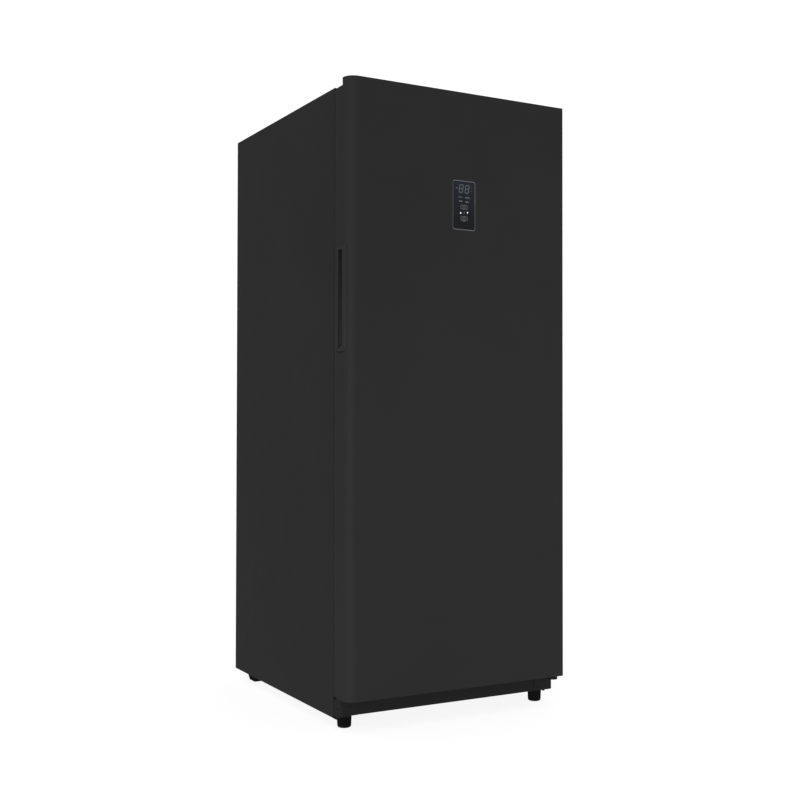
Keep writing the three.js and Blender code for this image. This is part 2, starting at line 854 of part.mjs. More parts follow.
// ---- Machine compartment -------------------------------------------------------------------------------

const plateTopZ = lowZ + rearPlateLift + rearPlateSheet;
const compressorY = rearY - machineDepth / 2 + 8;
const shellLowZ = plateTopZ + grommetHeight + footPlateSheet + seat;
const shellTopZ = shellLowZ + compressorHeight;

function compressor() {
  const r = compressorRadius;
  const h = compressorHeight;
  const profile = [
    [0, 0],
    [r * 0.55, 0],
    [r * 0.85, h * 0.07],
    [r * 0.97, h * 0.2],
    [r * 0.97, h * 0.5],
    [r, h * 0.5],
    [r, h * 0.56],
    [r * 0.96, h * 0.56],
    [r * 0.94, h * 0.75],
    [r * 0.8, h * 0.91],
    [r * 0.5, h * 0.985],
    [r * 0.25, h],
    [0, h],
  ];
  const points = profile.map(([radius, height]) => new THREE.Vector2(radius, height));
  points.push(points[0].clone());
  const dome = new THREE.LatheGeometry(points, 18).rotateX(Math.PI / 2);
  dome.scale(compressorSpread, 1, 1).translate(compressorX, compressorY, shellLowZ);
  const plateZ = shellLowZ - footPlateSheet;
  const [w, d] = [footPlateWidth / 2, footPlateDepth / 2];
  const outline = rounded(compressorX - w, compressorX + w, compressorY - d, compressorY + d, 12);
  const footPlate = alongZ(outline, plateZ, shellLowZ + 1, 2);
  const grommets = [];
  for (const sx of [-1, 1]) {
    for (const sy of [-1, 1]) {
      const gx = compressorX + sx * (w - grommetRadius);
      const gy = compressorY + sy * (d - grommetRadius);
      const z0 = plateTopZ + seat;
      const rr = grommetRadius;
      const sleeve = [[0, z0], [rr, z0], [rr, plateZ - 3], [rr - 3, plateZ + 1], [0, plateZ + 1]];
      grommets.push(turned(sleeve, gx, gy, 8));
    }
  }
  return union(solid(dome), footPlate, ...grommets);
}

function relayCover() {
  const x0 = compressorX + compressorRadius * compressorSpread + seat + 1;
  const z0 = shellLowZ + compressorHeight * 0.2;
  const half = relayDepth / 2;
  const outline = rounded(compressorY - half, compressorY + half, z0, z0 + relayHeight, 6);
  return alongX(outline, x0 - 1, x0 + relayWidth, 2);
}

function dripTray() {
  const z0 = shellTopZ + seat;
  const [w, d] = [trayWidth / 2, trayDepth / 2];
  const x = compressorX;
  const y = compressorY;
  const outer = alongZ(rounded(x - w, x + w, y - d, y + d, 10), z0, z0 + trayHeight, 2);
  const inner = rounded(x - w + trayWall, x + w - trayWall, y - d + trayWall, y + d - trayWall, 8);
  return cut(outer, alongZ(inner, z0 + trayWall, z0 + trayHeight + 1, 2));
}

function filterDrier() {
  const x = compressorX - compressorRadius * compressorSpread - drierGap;
  const z0 = plateTopZ + seat;
  const r = drierRadius;
  const tip = pipeRadius + 1;
  const profile = [
    [0, z0],
    [tip, z0],
    [tip, z0 + 14],
    [r, z0 + 26],
    [r, z0 + drierLength - 26],
    [tip, z0 + drierLength - 14],
    [tip, z0 + drierLength],
    [0, z0 + drierLength],
  ];
  return turned(profile, x, compressorY, 14);
}

// The cooling circuit's visible pipe: from the compressor, over the drier, to the compartment's roof.
function refrigerantPipe() {
  const drierX = compressorX - compressorRadius * compressorSpread - drierGap;
  const startX = compressorX - compressorRadius * compressorSpread * 0.97 - seat;
  const z = shellLowZ + compressorHeight * 0.36;
  const topOfDrier = plateTopZ + drierLength + 2 * seat;
  const high = roofZ - deckSheet - seat;
  const crossing = topOfDrier + pipeCrossing;
  const midX = (drierX + startX) / 2;
  return union(
    pipe([[startX, compressorY, z], [midX, compressorY, z], [midX, compressorY, crossing],
      [drierX, compressorY, crossing], [drierX, compressorY, topOfDrier]], pipeRadius, pipeBend, 6, 2),
    pipe([[drierX, compressorY, crossing - pipeRadius],
      [drierX, compressorY, high]], pipeRadius, pipeBend, 6, 2),
  );
}

function controlBox() {
  const x0 = -sideX + sheet + 30;
  const y1 = backPanelY - backPanelInset - 24;
  const z1 = roofZ - deckSheet - seat;
  const x1 = x0 + controlWidth;
  const y0 = y1 - controlDepth;
  const outline = rounded(x0, x1, z1 - controlHeight, z1, [5, 5, 0, 0]);
  const body = alongY(outline, y0, y1, 2);
  const w = controlWall;
  const room = block(x0 + w, x1 - w, y0 + w, y1 + 1, z1 - controlHeight + w, z1 - w);
  return cut(body, room);
}

const coverY0 = backPanelY - coverPlate;

function machineCover() {
  const x = sideX - sheet - seat;
  const z0 = lowZ + rearPlateLift - 4;
  const z1 = roofZ - seat;
  const rise = z1 - z0;
  const slots = [];
  for (const row of [0, 1]) {
    const centreZ = z0 + rise * (0.29 + 0.42 * row);
    for (let i = 0; i < louvreCount; i++) {
      const centreX = (i - (louvreCount - 1) / 2) * louvrePitch;
      const [a, b] = [centreX - louvreWidth / 2, centreX + louvreWidth / 2];
      const [low, high] = [centreZ - louvreHeight / 2, centreZ + louvreHeight / 2];
      slots.push(block(a, b, coverY0 - 1, backPanelY + 1, low, high));
    }
  }
  const gland = alongY(circle(glandX, glandZ, glandRadius - 2 + seat), coverY0 - 1, backPanelY + 1, 6);
  return cut(block(-x, x, coverY0, backPanelY, z0, z1), ...slots, gland);
}

const glandX = sideX - glandInset;
const glandZ = lowZ + rearPlateLift + glandRise;

// Strain-relief bush where the mains lead enters, with its bore open.
function cordGland() {
  const r = glandRadius - 2;
  const y0 = coverY0 - 8;
  const y1 = rearY;
  const lip = backPanelY + seat;
  const profile = [
    [glandBore, y0],
    [r, y0],
    [r, lip],
    [glandRadius, lip],
    [glandRadius, y1 - 0.3],
    [glandRadius - 0.3, y1],
    [glandBore, y1],
  ];
  return turnedY(profile, glandX, glandZ, 12);
}

// ---- Cold-air unit -------------------------------------------------------------------------------------

const coverFaceY = cavityRearY - coverDepth;
const coverX = cavityX - coverSideGap;
const coverLowZ = cavityStepZ + seat;
const coverTopZ = cavityTopZ - coverTopGap;
const fanZ = cavityStepZ + fanRise;
const shelfRearY = coverFaceY - 6;
const shelfFrontY = shelfRearY - shelfDepth;
const shelfZ = (i) => cavityFloorZ + shelfFirst + i * shelfPitch;

// Slots between concentric rings, left whole at the spokes.
function grilleSlots() {
  const slots = [];
  const pitch = (fanRadius - fanHub) / grilleRings;
  for (let ring = 0; ring < grilleRings; ring++) {
    const outer = fanHub + pitch * (ring + 1) - 1;
    const inner = outer - grilleSlot;
    for (let i = 0; i < grilleSpokes; i++) {
      const spoke = 4 / outer;
      const a0 = (2 * Math.PI * i) / grilleSpokes + spoke;
      const a1 = (2 * Math.PI * (i + 1)) / grilleSpokes - spoke;
      const outline = new THREE.Shape();
      outline.absarc(0, fanZ, outer, a0, a1, false);
      outline.absarc(0, fanZ, inner, a1, a0, true);
      outline.closePath();
      slots.push(alongY(outline, coverFaceY - 1, coverFaceY + coverWall + 1, 2));
    }
  }
  return slots;
}

function evaporatorCover() {
  const rear = cavityRearY - seat;
  const [y0, y1] = [coverFaceY, rear];
  const outline = rounded(-coverX, coverX, coverLowZ, coverTopZ, [0, 0, 16, 16]);
  const w = coverWall;
  const hollow = rounded(-coverX + w, coverX - w, coverLowZ - 1, coverTopZ - w, [0, 0, 13, 13]);
  const slots = grilleSlots();
  for (let i = 1; i < shelfCount; i++) {
    for (let row = 0; row < ventRows; row++) {
      for (const side of [-1, 1]) {
        const x = side * coverX * 0.5;
        const z = shelfZ(i) - ventDrop - row * ventPitch;
        slots.push(block(x - ventWidth / 2, x + ventWidth / 2, y0 - 1, y0 + w + 1, z, z + ventHeight));
      }
    }
  }
  const returnPitch = (2 * coverX * 0.86) / returnCount;
  for (let i = 0; i < returnCount; i++) {
    const x = (i - (returnCount - 1) / 2) * returnPitch;
    const z = shelfZ(0) + 26;
    slots.push(block(x - returnWidth / 2, x + returnWidth / 2, y0 - 1, y0 + w + 1, z, z + returnHeight));
  }
  return cut(alongY(outline, y0, y1, 4), alongY(hollow, y0 + w, y1 + 1, 4), ...slots);
}

const fanFrontY = coverFaceY + coverWall + fanSetback;
const motorFrontY = fanFrontY + fanHubLength + 0.6;

// One blade: sections of a thin curved plate, pitched less towards the tip.
function fanBlade(turn) {
  const stations = 3;
  const rings = [];
  for (let s = 0; s <= stations; s++) {
    const t = s / stations;
    const radius = fanHub - 3 + (fanRadius - fanHub + 3) * t;
    const pitch = THREE.MathUtils.degToRad(38 - 14 * t);
    const chord = bladeChord * (0.62 + 0.38 * t);
    const ring = [];
    const half = 2;
    for (let k = -half; k <= half; k++) ring.push([k / half, 1]);
    for (let k = half; k >= -half; k--) ring.push([k / half, -1]);
    rings.push(
      ring.map(([u, face]) => {
        const across = (u * chord) / 2;
        const camber = 3 * (1 - u * u);
        const thick = (face * bladeThickness * (1 - 0.6 * u * u)) / 2;
        const round = across * Math.cos(pitch) - (camber + thick) * Math.sin(pitch);
        const axial = across * Math.sin(pitch) + (camber + thick) * Math.cos(pitch);
        const angle = turn + round / radius;
        const y = fanFrontY + fanHubLength / 2 + axial * 0.7;
        return new THREE.Vector3(radius * Math.cos(angle), y, fanZ + radius * Math.sin(angle));
      }),
    );
  }
  return loft(rings);
}

function fanRotor() {
  const y1 = fanFrontY + fanHubLength;
  const hub = [
    [0, fanFrontY],
    [fanHub - 3, fanFrontY],
    [fanHub, fanFrontY + 3],
    [fanHub, y1],
    [shaftRadius, y1],
    [shaftRadius, motorFrontY + motorLength * 0.6],
    [0, motorFrontY + motorLength * 0.6],
  ];
  const blades = Array.from({ length: fanBlades }, (_, i) => fanBlade((2 * Math.PI * i) / fanBlades));
  return union(turnedY(hub, 0, fanZ, 16), ...blades);
}

// The motor on a hat-shaped strip, whose feet stand on the cavity's rear wall.
function fanMotor() {
  const y0 = motorFrontY;
  const y1 = y0 + motorLength;
  const socket = shaftRadius + shaftPlay;
  const deep = y0 + motorLength * 0.6 + 1;
  const body = [
    [socket, y0],
    [motorRadius * 0.4, y0],
    [motorRadius * 0.5, y0 + 3],
    [motorRadius, y0 + 6],
    [motorRadius, y1],
    [0, y1],
    [0, deep],
    [socket, deep],
  ];
  const strip = y1 - 0.5;
  const back = cavityRearY - seat;
  const t = 2;
  const arm = motorRadius + motorArmGap;
  const foot = arm + motorFoot;
  const outline = polygon([
    [-foot, back],
    [-foot, back - t],
    [-arm - t, back - t],
    [-arm, strip],
    [arm, strip],
    [arm + t, back - t],
    [foot, back - t],
    [foot, back],
    [arm, back],
    [arm - t, strip + t],
    [-arm + t, strip + t],
    [-arm, back],
  ]);
  const half = motorRadius * 0.6;
  return union(turnedY(body, 0, fanZ, 16), alongZ(outline, fanZ - half, fanZ + half));
}

const coilY = cavityRearY - coverDepth / 2 + 2;
const coilZ = (pass) => cavityStepZ + coilRise + pass * coilPitch;

// A fin-and-tube coil: one tube wound back and forth through upright fins, on two end plates.
function evaporatorCoil() {
  const half = coilWidth / 2;
  const points = [];
  for (let pass = 0; pass < coilPasses; pass++) {
    const from = pass % 2 ? half : -half;
    points.push([from, coilY, coilZ(pass)], [-from, coilY, coilZ(pass)]);
  }
  const tube = pipe(points, coilTube, coilPitch / 2 - 1, 6, 2);
  const fins = [];
  const low = coilZ(0) - 20;
  const high = coilZ(coilPasses - 1) + 20;
  const span = coilWidth - 2 * coilPitch;
  for (let i = 0; i < finCount; i++) {
    const x = -span / 2 + (span * i) / (finCount - 1);
    const end = i === 0 || i === finCount - 1;
    const y1 = end ? cavityRearY - seat : coilY + finDepth / 2 - 2;
    fins.push(block(x - finSheet / 2, x + finSheet / 2, coilY - finDepth / 2, y1, low, high));
  }
  return union(tube, ...fins);
}

function defrostHeater() {
  const half = coilWidth / 2 - coilPitch - 12;
  const z = coilZ(0) - heaterDrop;
  const back = cavityRearY - seat;
  return pipe(
    [[-half, back, z], [-half, coilY - 8, z], [half, coilY - 8, z], [half, back, z]],
    heaterTube, 14, 6, 2,
  );
}

function drainTube() {
  const low = shellTopZ + trayWall + 6;
  const z1 = cavityStepZ + seat;
  const r = drainBore + drainWall;
  const profile = [
    [drainBore, low],
    [r, low],
    [r, z1],
    [drainFlange, z1],
    [drainFlange, z1 + 2],
    [drainBore, z1 + 1],
  ];
  return turned(profile, drainX, drainY, 14);
}

function lamp() {
  const z1 = cavityTopZ - seat;
  const y0 = frontY + lampSetback;
  const half = lampWidth / 2;
  const plan = alongZ(rounded(-half, half, y0, y0 + lampDepth, 8), z1 - lampDrop, z1, 3);
  const side = rounded(y0, y0 + lampDepth, z1 - lampDrop, z1, [6, 6, 0, 0]);
  return common(plan, alongX(side, -half, half, 3));
}

// ---- Shelves and basket --------------------------------------------------------------------------------

const shelfX = cavityX - shelfSideGap;

function shelfPane(i) {
  const z = shelfZ(i) + seat;
  const y0 = shelfFrontY + shelfTrimWall + seat;
  return alongZ(rounded(-shelfX, shelfX, y0, shelfRearY, [0, 0, 8, 8]), z, z + shelfGlass, 3);
}

// Moulded nosing that grips the pane's front edge.
function shelfTrim(i) {
  const z = shelfZ(i) + seat;
  const y0 = shelfFrontY;
  const y1 = y0 + shelfTrimDepth;
  const w = shelfTrimWall;
  const top = z + shelfGlass + seat + w;
  const low = top - shelfTrimHeight;
  const ledge = cavityX - ledgeReach - shelfSideGap;
  const outline = rounded(y0, y1, low, top, [6, 0, 0, 3]);
  const slot = block(-cavityX, cavityX, y0 + w, y1 + 1, z - seat, z + shelfGlass + seat);
  const under = (side) =>
    side > 0
      ? block(ledge, cavityX, y0 - 1, y1 + 1, low - 1, z - seat)
      : block(-cavityX, -ledge, y0 - 1, y1 + 1, low - 1, z - seat);
  return cut(alongX(outline, -shelfX, shelfX, 2), slot, under(1), under(-1));
}

const basketX = cavityX - basketSideGap;
const basketFrontY = frontY + basketSetback;
const basketLowZ = cavityFloorZ + runnerThickness + 2 * seat;
const basketRearY = deckLine(floorWall, 0, 0)[1][0] - basketRearGap;

function basket() {
  const z1 = basketLowZ + basketHeight;
  const w = basketWall;
  const c = basketCorner;
  const outline = rounded(-basketX, basketX, basketFrontY, basketRearY, c);
  const inner = rounded(-basketX + w, basketX - w, basketFrontY + w, basketRearY - w, c - w);
  const shell = cut(alongZ(outline, basketLowZ, z1, 3), alongZ(inner, basketLowZ + w, z1 + 1, 3));
  const gripY = basketFrontY - basketGripDepth;
  const grip = polygon([
    [basketFrontY + w / 2, z1],
    [gripY, z1],
    [gripY, z1 - basketGripHeight],
    [gripY + w, z1 - basketGripHeight],
    [gripY + w, z1 - w],
    [basketFrontY + w / 2, z1 - w],
  ]);
  return union(shell, alongX(grip, -basketX * 0.45, basketX * 0.45));
}

function basketRunner(side) {
  const z0 = cavityFloorZ + seat;
  const lip = basketX + 0.8;
  const outline = polygon([
    [side * (lip + 3 - runnerWidth), z0],
    [side * (lip + 3), z0],
    [side * (lip + 3), z0 + runnerLip],
    [side * lip, z0 + runnerLip],
    [side * lip, z0 + runnerThickness],
    [side * (lip + 3 - runnerWidth), z0 + runnerThickness],
  ]);
  return alongY(outline, basketFrontY - 8, basketRearY + basketRearGap / 2);
}

// ---- Top hinge -----------------------------------------------------------------------------------------

// The point where a line from outside touches a circle, on the side that is asked for.
function touchPoint([px, py], [cx, cy], radius, side) {
  const away = Math.atan2(py - cy, px - cx);
  const open = Math.acos(radius / Math.hypot(px - cx, py - cy));
  const angle = away + side * open;
  return { point: [cx + radius * Math.cos(angle), cy + radius * Math.sin(angle)], angle };
}

const topPlateZ = topZ + seat;
const padX1 = hingeX - 2;
const padX0 = padX1 - topHingeWidth;
const padY0 = frontY + 6;

function topHingeOutline() {
  const right = [padX1 - 14, padY0];
  const left = [padX0 + 14, padY0];
  const axis = [hingeX, hingeY];
  const touchRight = touchPoint(right, axis, hingeNose, -1);
  const touchLeft = touchPoint(left, axis, hingeNose, 1);
  const outline = new THREE.Shape();
  outline.moveTo(padX0, padY0);
  outline.lineTo(...left);
  outline.lineTo(...touchLeft.point);
  outline.absarc(...axis, hingeNose, touchLeft.angle, touchRight.angle, false);
  outline.lineTo(...right);
  outline.lineTo(padX1, padY0);
  outline.lineTo(padX1, padY0 + topHingeDepth);
  outline.lineTo(padX0, padY0 + topHingeDepth);
  return outline;
}

function topHingeBracket() {
  const z1 = topPlateZ + topHingePlate;
  const hole = bore(hingeX, hingeY, pinRadius + seat, topPlateZ - 1, z1 + 1);
  return cut(alongZ(topHingeOutline(), topPlateZ, z1, 5), hole);
}

function hingePin(headZ, headSide, tipZ) {
  const r = pinRadius;
  const rim = headZ + headSide * pinHeadThickness;
  const profile = [
    [0, rim],
    [pinHead - 0.6, rim],
    [pinHead, rim - headSide * 0.6],
    [pinHead, headZ],
    [r, headZ],
    [r, tipZ + headSide],
    [r - 1, tipZ],
    [0, tipZ],
  ];
  return turned(profile, hingeX, hingeY, 16);
}

function hingeCover() {
  const x0 = padX0 - 5;
  const x1 = padX1 + 5;
  const y0 = frontY + 3;
  const y1 = padY0 + topHingeDepth + 6;
  const z0 = topZ + seat;
  const z1 = topZ + hingeCoverHeight;
  const w = hingeCoverWall;
  const outer = common(
    alongZ(rounded(x0, x1, y0, y1, 6), z0, z1, 3),
    alongX(rounded(y0, y1, z0, z1, [0, 0, 4, 4]), x0, x1, 3),
  );
  const hollow = alongZ(rounded(x0 + w, x1 - w, y0 + w, y1 - w, 5), z0 - 1, z1 - w, 3);
  const mouth = block(padX0 + 10, padX1 - 4, y0 - 1, y0 + 3, z0 - 1, topPlateZ + topHingePlate + 1);
  return cut(outer, hollow, mouth);
}

// ---- Door ----------------------------------------------------------------------------------------------

// The door's plan, drawn in by an inset, from its face back to a given line.
function doorPlan(inset, backY) {
  const corners = [handleCorner - inset, Math.max(hingeCorner - inset, 0), 0, 0];
  return rounded(-doorX + inset, doorX - inset, faceY + inset, backY, corners);
}

const displayX = (handleCorner - hingeCorner) / 2 - displayShift;
const displayZ = doorTopZ - displayDrop;
const handleZ0 = lowZ + handleLift;
const handleZ1 = handleZ0 + handleHeight;
const slotZ0 = handleZ0 + slotLift;
const slotZ1 = slotZ0 + slotHeight;
const slotY1 = doorBackY - slotSetback;
const slotY0 = slotY1 - slotWidth;

function displayOutline(margin) {
  const x = displayWidth / 2 - margin;
  const z = displayHeight / 2 - margin;
  const corner = Math.max(displayCorner - margin, 0.5);
  return rounded(displayX - x, displayX + x, displayZ - z, displayZ + z, corner);
}

// The hole that takes the handle's pocket, grown by a margin.
function pocketBlock(x0, x1, margin) {
  const wall = pocketWall + margin;
  return block(x0, x1, slotY0 - wall, slotY1 + wall, slotZ0 - wall, slotZ1 + wall);
}

function doorSkin() {
  const body = alongZ(doorPlan(0, doorBackY), doorLowZ, doorTopZ, 7);
  const room = alongZ(doorPlan(sheet, doorBackY - sheet), doorLowZ - 1, doorTopZ + 1, 7);
  const back = doorX - skinReturn;
  const window = alongY(displayOutline(displayLap), faceY - 1, faceY + sheet + 1, 3);
  return cut(
    body,
    room,
    block(-back, back, doorBackY - 2 * sheet, doorBackY + 1, doorLowZ - 1, doorTopZ + 1),
    block(-sideX, sideX, lipY, doorBackY + 1, doorRearTopZ, doorTopZ + 1),
    pocketBlock(-sideX - 1, -doorX + 5, seat),
    window,
  );
}

const capBackY = doorBackY - linerSheet - seat;
const capPlan = (inset, backY) => doorPlan(sheet + seat + inset, backY);

function doorCapTop() {
  const low = doorRearTopZ - capHeight;
  const deck = doorRearTopZ;
  const lip = doorTopZ - capInset;
  const w = capWall;
  const solidCap = union(
    alongZ(capPlan(0, capBackY), low, deck, 4),
    alongZ(capPlan(0, lipY - seat), deck - 1, lip, 4),
  );
  const hollow = union(
    alongZ(capPlan(w, capBackY - w), low - 1, deck - w, 4),
    alongZ(capPlan(w, lipY - seat - w), deck - w - 1, lip - w, 4),
  );
  const boss = alongZ(circle(hingeX, hingeY, bushSleeve + 3), low, deck - 1, 6);
  const hole = bore(hingeX, hingeY, bushSleeve + bushPlay, low - 1, deck + 1);
  return cut(union(cut(solidCap, hollow), boss), hole);
}

function doorCapBottom() {
  const low = doorLowZ;
  const high = doorLowZ + capHeight;
  const w = capWall;
  const tray = cut(
    alongZ(capPlan(0, capBackY), low, high, 4),
    alongZ(capPlan(w, capBackY - w), low + w, high + 1, 4),
  );
  const boss = alongZ(circle(hingeX, hingeY, bushSleeve + 3), low + 1, high, 6);
  const hole = bore(hingeX, hingeY, bushSleeve + bushPlay, low - 1, high + 1);
  return cut(union(tray, boss), hole);
}

// A flanged nylon bush: its flange takes the door's weight, its sleeve runs on the pin.
function hingeBush(flangeZ, sleeveZ, seatZ) {
  const profile = [
    [pinRadius + pinPlay, flangeZ],
    [bushFlange, flangeZ],
    [bushFlange, seatZ],
    [bushSleeve, seatZ],
    [bushSleeve, sleeveZ],
    [pinRadius + pinPlay, sleeveZ],
  ];
  return turned(profile, hingeX, hingeY, 16);
}

const ridgeX = cavityX - ridgeGap;
const ridgeLowZ = cavityFloorZ + ridgeGap;
const ridgeHighZ = cavityTopZ - ridgeGap;
const ridgeTopY = frontY + ridgeReach;
const binZ = (i) => cavityFloorZ + binFirst + i * binPitch;
const binLugY = doorBackY + 13;

// A closed ring drawn in (x, z) between two insets from the ridge's outer line.
function ridgeRing(outerInset, innerInset) {
  const ring = (inset, corner) =>
    rounded(-ridgeX + inset, ridgeX - inset, ridgeLowZ + inset, ridgeHighZ - inset, corner);
  const outline = ring(outerInset, Math.max(ridgeCorner - outerInset, 2));
  outline.holes.push(new THREE.Path(ring(innerInset, 8).getPoints(2)));
  return outline;
}

// The ridge, narrower at its crest than at its foot.
function ridge(grow, crestY) {
  const e = ridgeEdge;
  const w = ridgeWidth;
  return union(
    alongY(ridgeRing(-grow, w + grow), doorBackY - 1, crestY - e, 2),
    alongY(ridgeRing(e * 0.35 - grow, w + grow - e * 0.35), crestY - e - 1, crestY - e * 0.4, 2),
    alongY(ridgeRing(e - grow, w + grow - e), crestY - e * 0.4 - 1, crestY, 2),
  );
}

function doorLiner() {
  const x = doorX - skinReturn - seat;
  const plate = block(-x, x, doorBackY - linerSheet, doorBackY, doorLowZ + seat, doorRearTopZ - seat);
  const hollow = alongY(
    ridgeRing(linerSheet, ridgeWidth - linerSheet),
    doorBackY - linerSheet - 1,
    ridgeTopY - ridgeEdge - linerSheet,
    2,
  );
  const lugs = [];
  for (let i = 0; i < binCount; i++) {
    const z0 = binZ(i) + lugRise;
    for (const side of [-1, 1]) {
      const root = side * (ridgeX - ridgeWidth + 1);
      const tip = side * (ridgeX - ridgeWidth - binEarThickness);
      const outline = rounded(binLugY, binLugY + lugDepth, z0, z0 + lugHeight, [0, 0, 5, 5]);
      lugs.push(alongX(outline, Math.min(root, tip), Math.max(root, tip), 1));
    }
  }
  return union(cut(union(plate, ridge(0, ridgeTopY)), hollow), ...lugs);
}

function doorFoam() {
  const low = doorLowZ + capHeight + seat;
  const high = doorRearTopZ - capHeight - seat;
  const backY = doorBackY - linerSheet - seat;
  return cut(
    alongZ(doorPlan(sheet + seat, backY), low, high, 4),
    pocketBlock(-sideX, -doorX + slotDepth + pocketWall + seat, seat),
    alongY(displayOutline(displayLap), faceY, faceY + displayDepth + seat, 3),
  );
}

// A magnetic seal: foot on the door, narrow neck, magnet strip towards the case.
function doorSeal() {
  const x = doorX - sealInset;
  const low = kickTopZ + sealSill;
  const high = topZ - (sideX - x) - 8;
  const ring = (inset, width) => {
    const edge = (d, corner) => rounded(-x + d, x - d, low + d, high - d, corner);
    const outline = edge(inset, sealCorner);
    outline.holes.push(new THREE.Path(edge(inset + width, 4).getPoints(2)));
    return outline;
  };
  const y0 = doorBackY + seat;
  const y1 = frontY - seat;
  const neckInset = (sealWidth - sealNeck) / 2;
  return union(
    alongY(ring(0, sealWidth), y0, y0 + sealFoot, 2),
    alongY(ring(neckInset, sealNeck), y0 + sealFoot - 0.5, y1 - sealFoot + 0.5, 2),
    alongY(ring(1.5, sealWidth - 3), y1 - sealFoot, y1, 2),
  );
}

// The handle frame follows the skin round its edge, and its pocket sinks into the door.
function handleInsert() {
  const cx = -doorX + handleCorner;
  const cy = faceY + handleCorner;
  const inner = handleCorner + seat / 2;
  const outer = handleCorner + handleProud;
  const edge = doorBackY - handleWrap;
  const reach = Math.asin(Math.min(Math.max((cy - edge) / handleCorner, 0), 1));
  const band = new THREE.Shape();
  band.moveTo(cx - outer, doorBackY - seat);
  band.lineTo(cx - outer, cy);
  band.absarc(cx, cy, outer, Math.PI, Math.PI + reach, false);
  band.absarc(cx, cy, inner, Math.PI + reach, Math.PI, true);
  band.lineTo(cx - inner, doorBackY - seat);
  const corner = handleCornerRadius;
  const frameY = cy - outer * Math.sin(reach) - 1;
  const face = rounded(frameY, doorBackY, handleZ0, handleZ1, [corner, 1, 1, 4]);
  const frame = common(
    alongZ(band, handleZ0, handleZ1, 6),
    alongX(face, cx - outer - 1, cx, 5),
  );
  const mouth = -doorX - handleProud;
  const floor = -doorX + slotDepth;
  const pocket = pocketBlock(-doorX - handleProud / 2, floor + pocketWall, 0);
  const slot = polygon([
    [mouth - 1, slotZ0],
    [mouth, slotZ0],
    [floor, slotZ0 + slotRamp],
    [floor, slotZ1],
    [mouth - 1, slotZ1],
  ]);
  const slant = polygon([
    [slotY0, slotZ0 + slotSlant],
    [slotY1, slotZ0],
    [slotY1, slotZ1],
    [slotY0, slotZ1],
  ]);
  const opening = common(alongY(slot, slotY0, slotY1), alongX(slant, mouth - 1, floor));
  return cut(union(frame, pocket), opening);
}

function displayBezel() {
  const y0 = faceY - displayProud;
  const lap = faceY - seat / 2;
  const rear = faceY + displayDepth;
  const rim = alongY(displayOutline(0), y0, lap, 3);
  const tray = alongY(displayOutline(displayLap + seat), lap - 0.2, rear, 3);
  const room = alongY(displayOutline(displayRim), y0 - 1, rear - displayRim, 3);
  return cut(union(rim, tray), room);
}

function displayWindow() {
  const y0 = faceY - displayProud + 0.3;
  return alongY(displayOutline(displayRim + seat), y0, y0 + windowThickness, 3);
}

// The display board: a circuit card with its lamp block, on four posts.
function displayBoard() {
  const margin = displayRim + boardMargin;
  const floor = faceY + displayDepth - displayRim - seat;
  const cardY = floor - boardGap;
  const card = alongY(displayOutline(margin), cardY - boardThickness, cardY, 2);
  const half = displayWidth / 2 - margin - boardPostInset;
  const rise = displayHeight / 2 - margin - boardPostInset;
  const posts = [-1, 1].flatMap((sx) =>
    [-1, 1].map((sz) => {
      const outline = circle(displayX + sx * half, displayZ + sz * rise, boardPost);
      return alongY(outline, cardY - 0.5, floor, 3);
    }),
  );
  const lampLow = displayZ + rise - lampBlockDrop;
  const lampHigh = lampLow + lampBlockHeight;
  const lamps = rounded(displayX - half * 0.7, displayX + half * 0.7, lampLow, lampHigh, 1);
  return union(card, ...posts, alongY(lamps, cardY - boardThickness - lampBlockDepth, cardY - 0.5, 1));
}

function doorBin(i) {
  const z0 = binZ(i);
  const z1 = z0 + binHeight;
  const x = ridgeX - ridgeWidth - binEarThickness - 0.6;
  const y0 = doorBackY + seat;
  const y1 = y0 + binDepth;
  const w = binWall;
  const c = binCorner;
  const outer = alongZ(rounded(-x, x, y0, y1, [0, 0, c, c]), z0, z1, 3);
  const inner = rounded(-x + w, x - w, y0 + w, y1 - w, [0, 0, c - w, c - w]);
  const tub = cut(outer, alongZ(inner, z0 + w, z1 + 1, 3));
  const ears = [-1, 1].map((side) => {
    const root = side * (x - 1);
    const tip = side * (ridgeX - ridgeWidth - seat);
    const [x0, x1] = [Math.min(root, tip), Math.max(root, tip)];
    const [low, top] = [z0 + lugRise, z0 + lugRise + lugHeight];
    const [ya, yb] = [binLugY - 6, binLugY + lugDepth + 6];
    const slotX = side > 0 ? [x + 0.01, x1 + 1] : [x0 - 1, -x - 0.01];
    return cut(
      alongX(rounded(ya, yb, low, top + 8, [0, 0, 6, 6]), x0, x1, 1),
      block(...slotX, binLugY - seat, binLugY + lugDepth + seat, low - 1, top + seat),
    );
  });
  return union(tub, ...ears);
}

// ---- Pieces in the order of assembly -------------------------------------------------------------------

piece(cabinetGroup, "cabinet_shell", caseShell(), charcoal());
piece(cabinetGroup, "back_panel", backPanel(), zincSteel());
piece(cabinetGroup, "deck_panel", deckPanel(), zincSteel());
piece(cabinetGroup, "insulation", insulation(), foam());
piece(cabinetGroup, "liner", linerShell(), whitePlastic());
piece(cabinetGroup, "front_rail", frontRail(), blackSteel());
piece(cabinetGroup, "rear_cross_plate", rearCrossPlate(), zincSteel());
piece(cabinetGroup, "kick_plate", kickPlate(), darkPlastic());
piece(cabinetGroup, "corner_bracket_left", leftCornerBracket(), blackSteel());
piece(cabinetGroup, "hinge_bracket_lower", lowHingeBracket(), blackSteel());
piece(cabinetGroup, "hinge_bracket_upper", topHingeBracket(), blackSteel());
piece(cabinetGroup, "hinge_cover_upper", hingeCover(), darkPlastic());
const topPinHead = topPlateZ + topHingePlate + seat;
const topPinTip = doorRearTopZ - bushLength + 2;
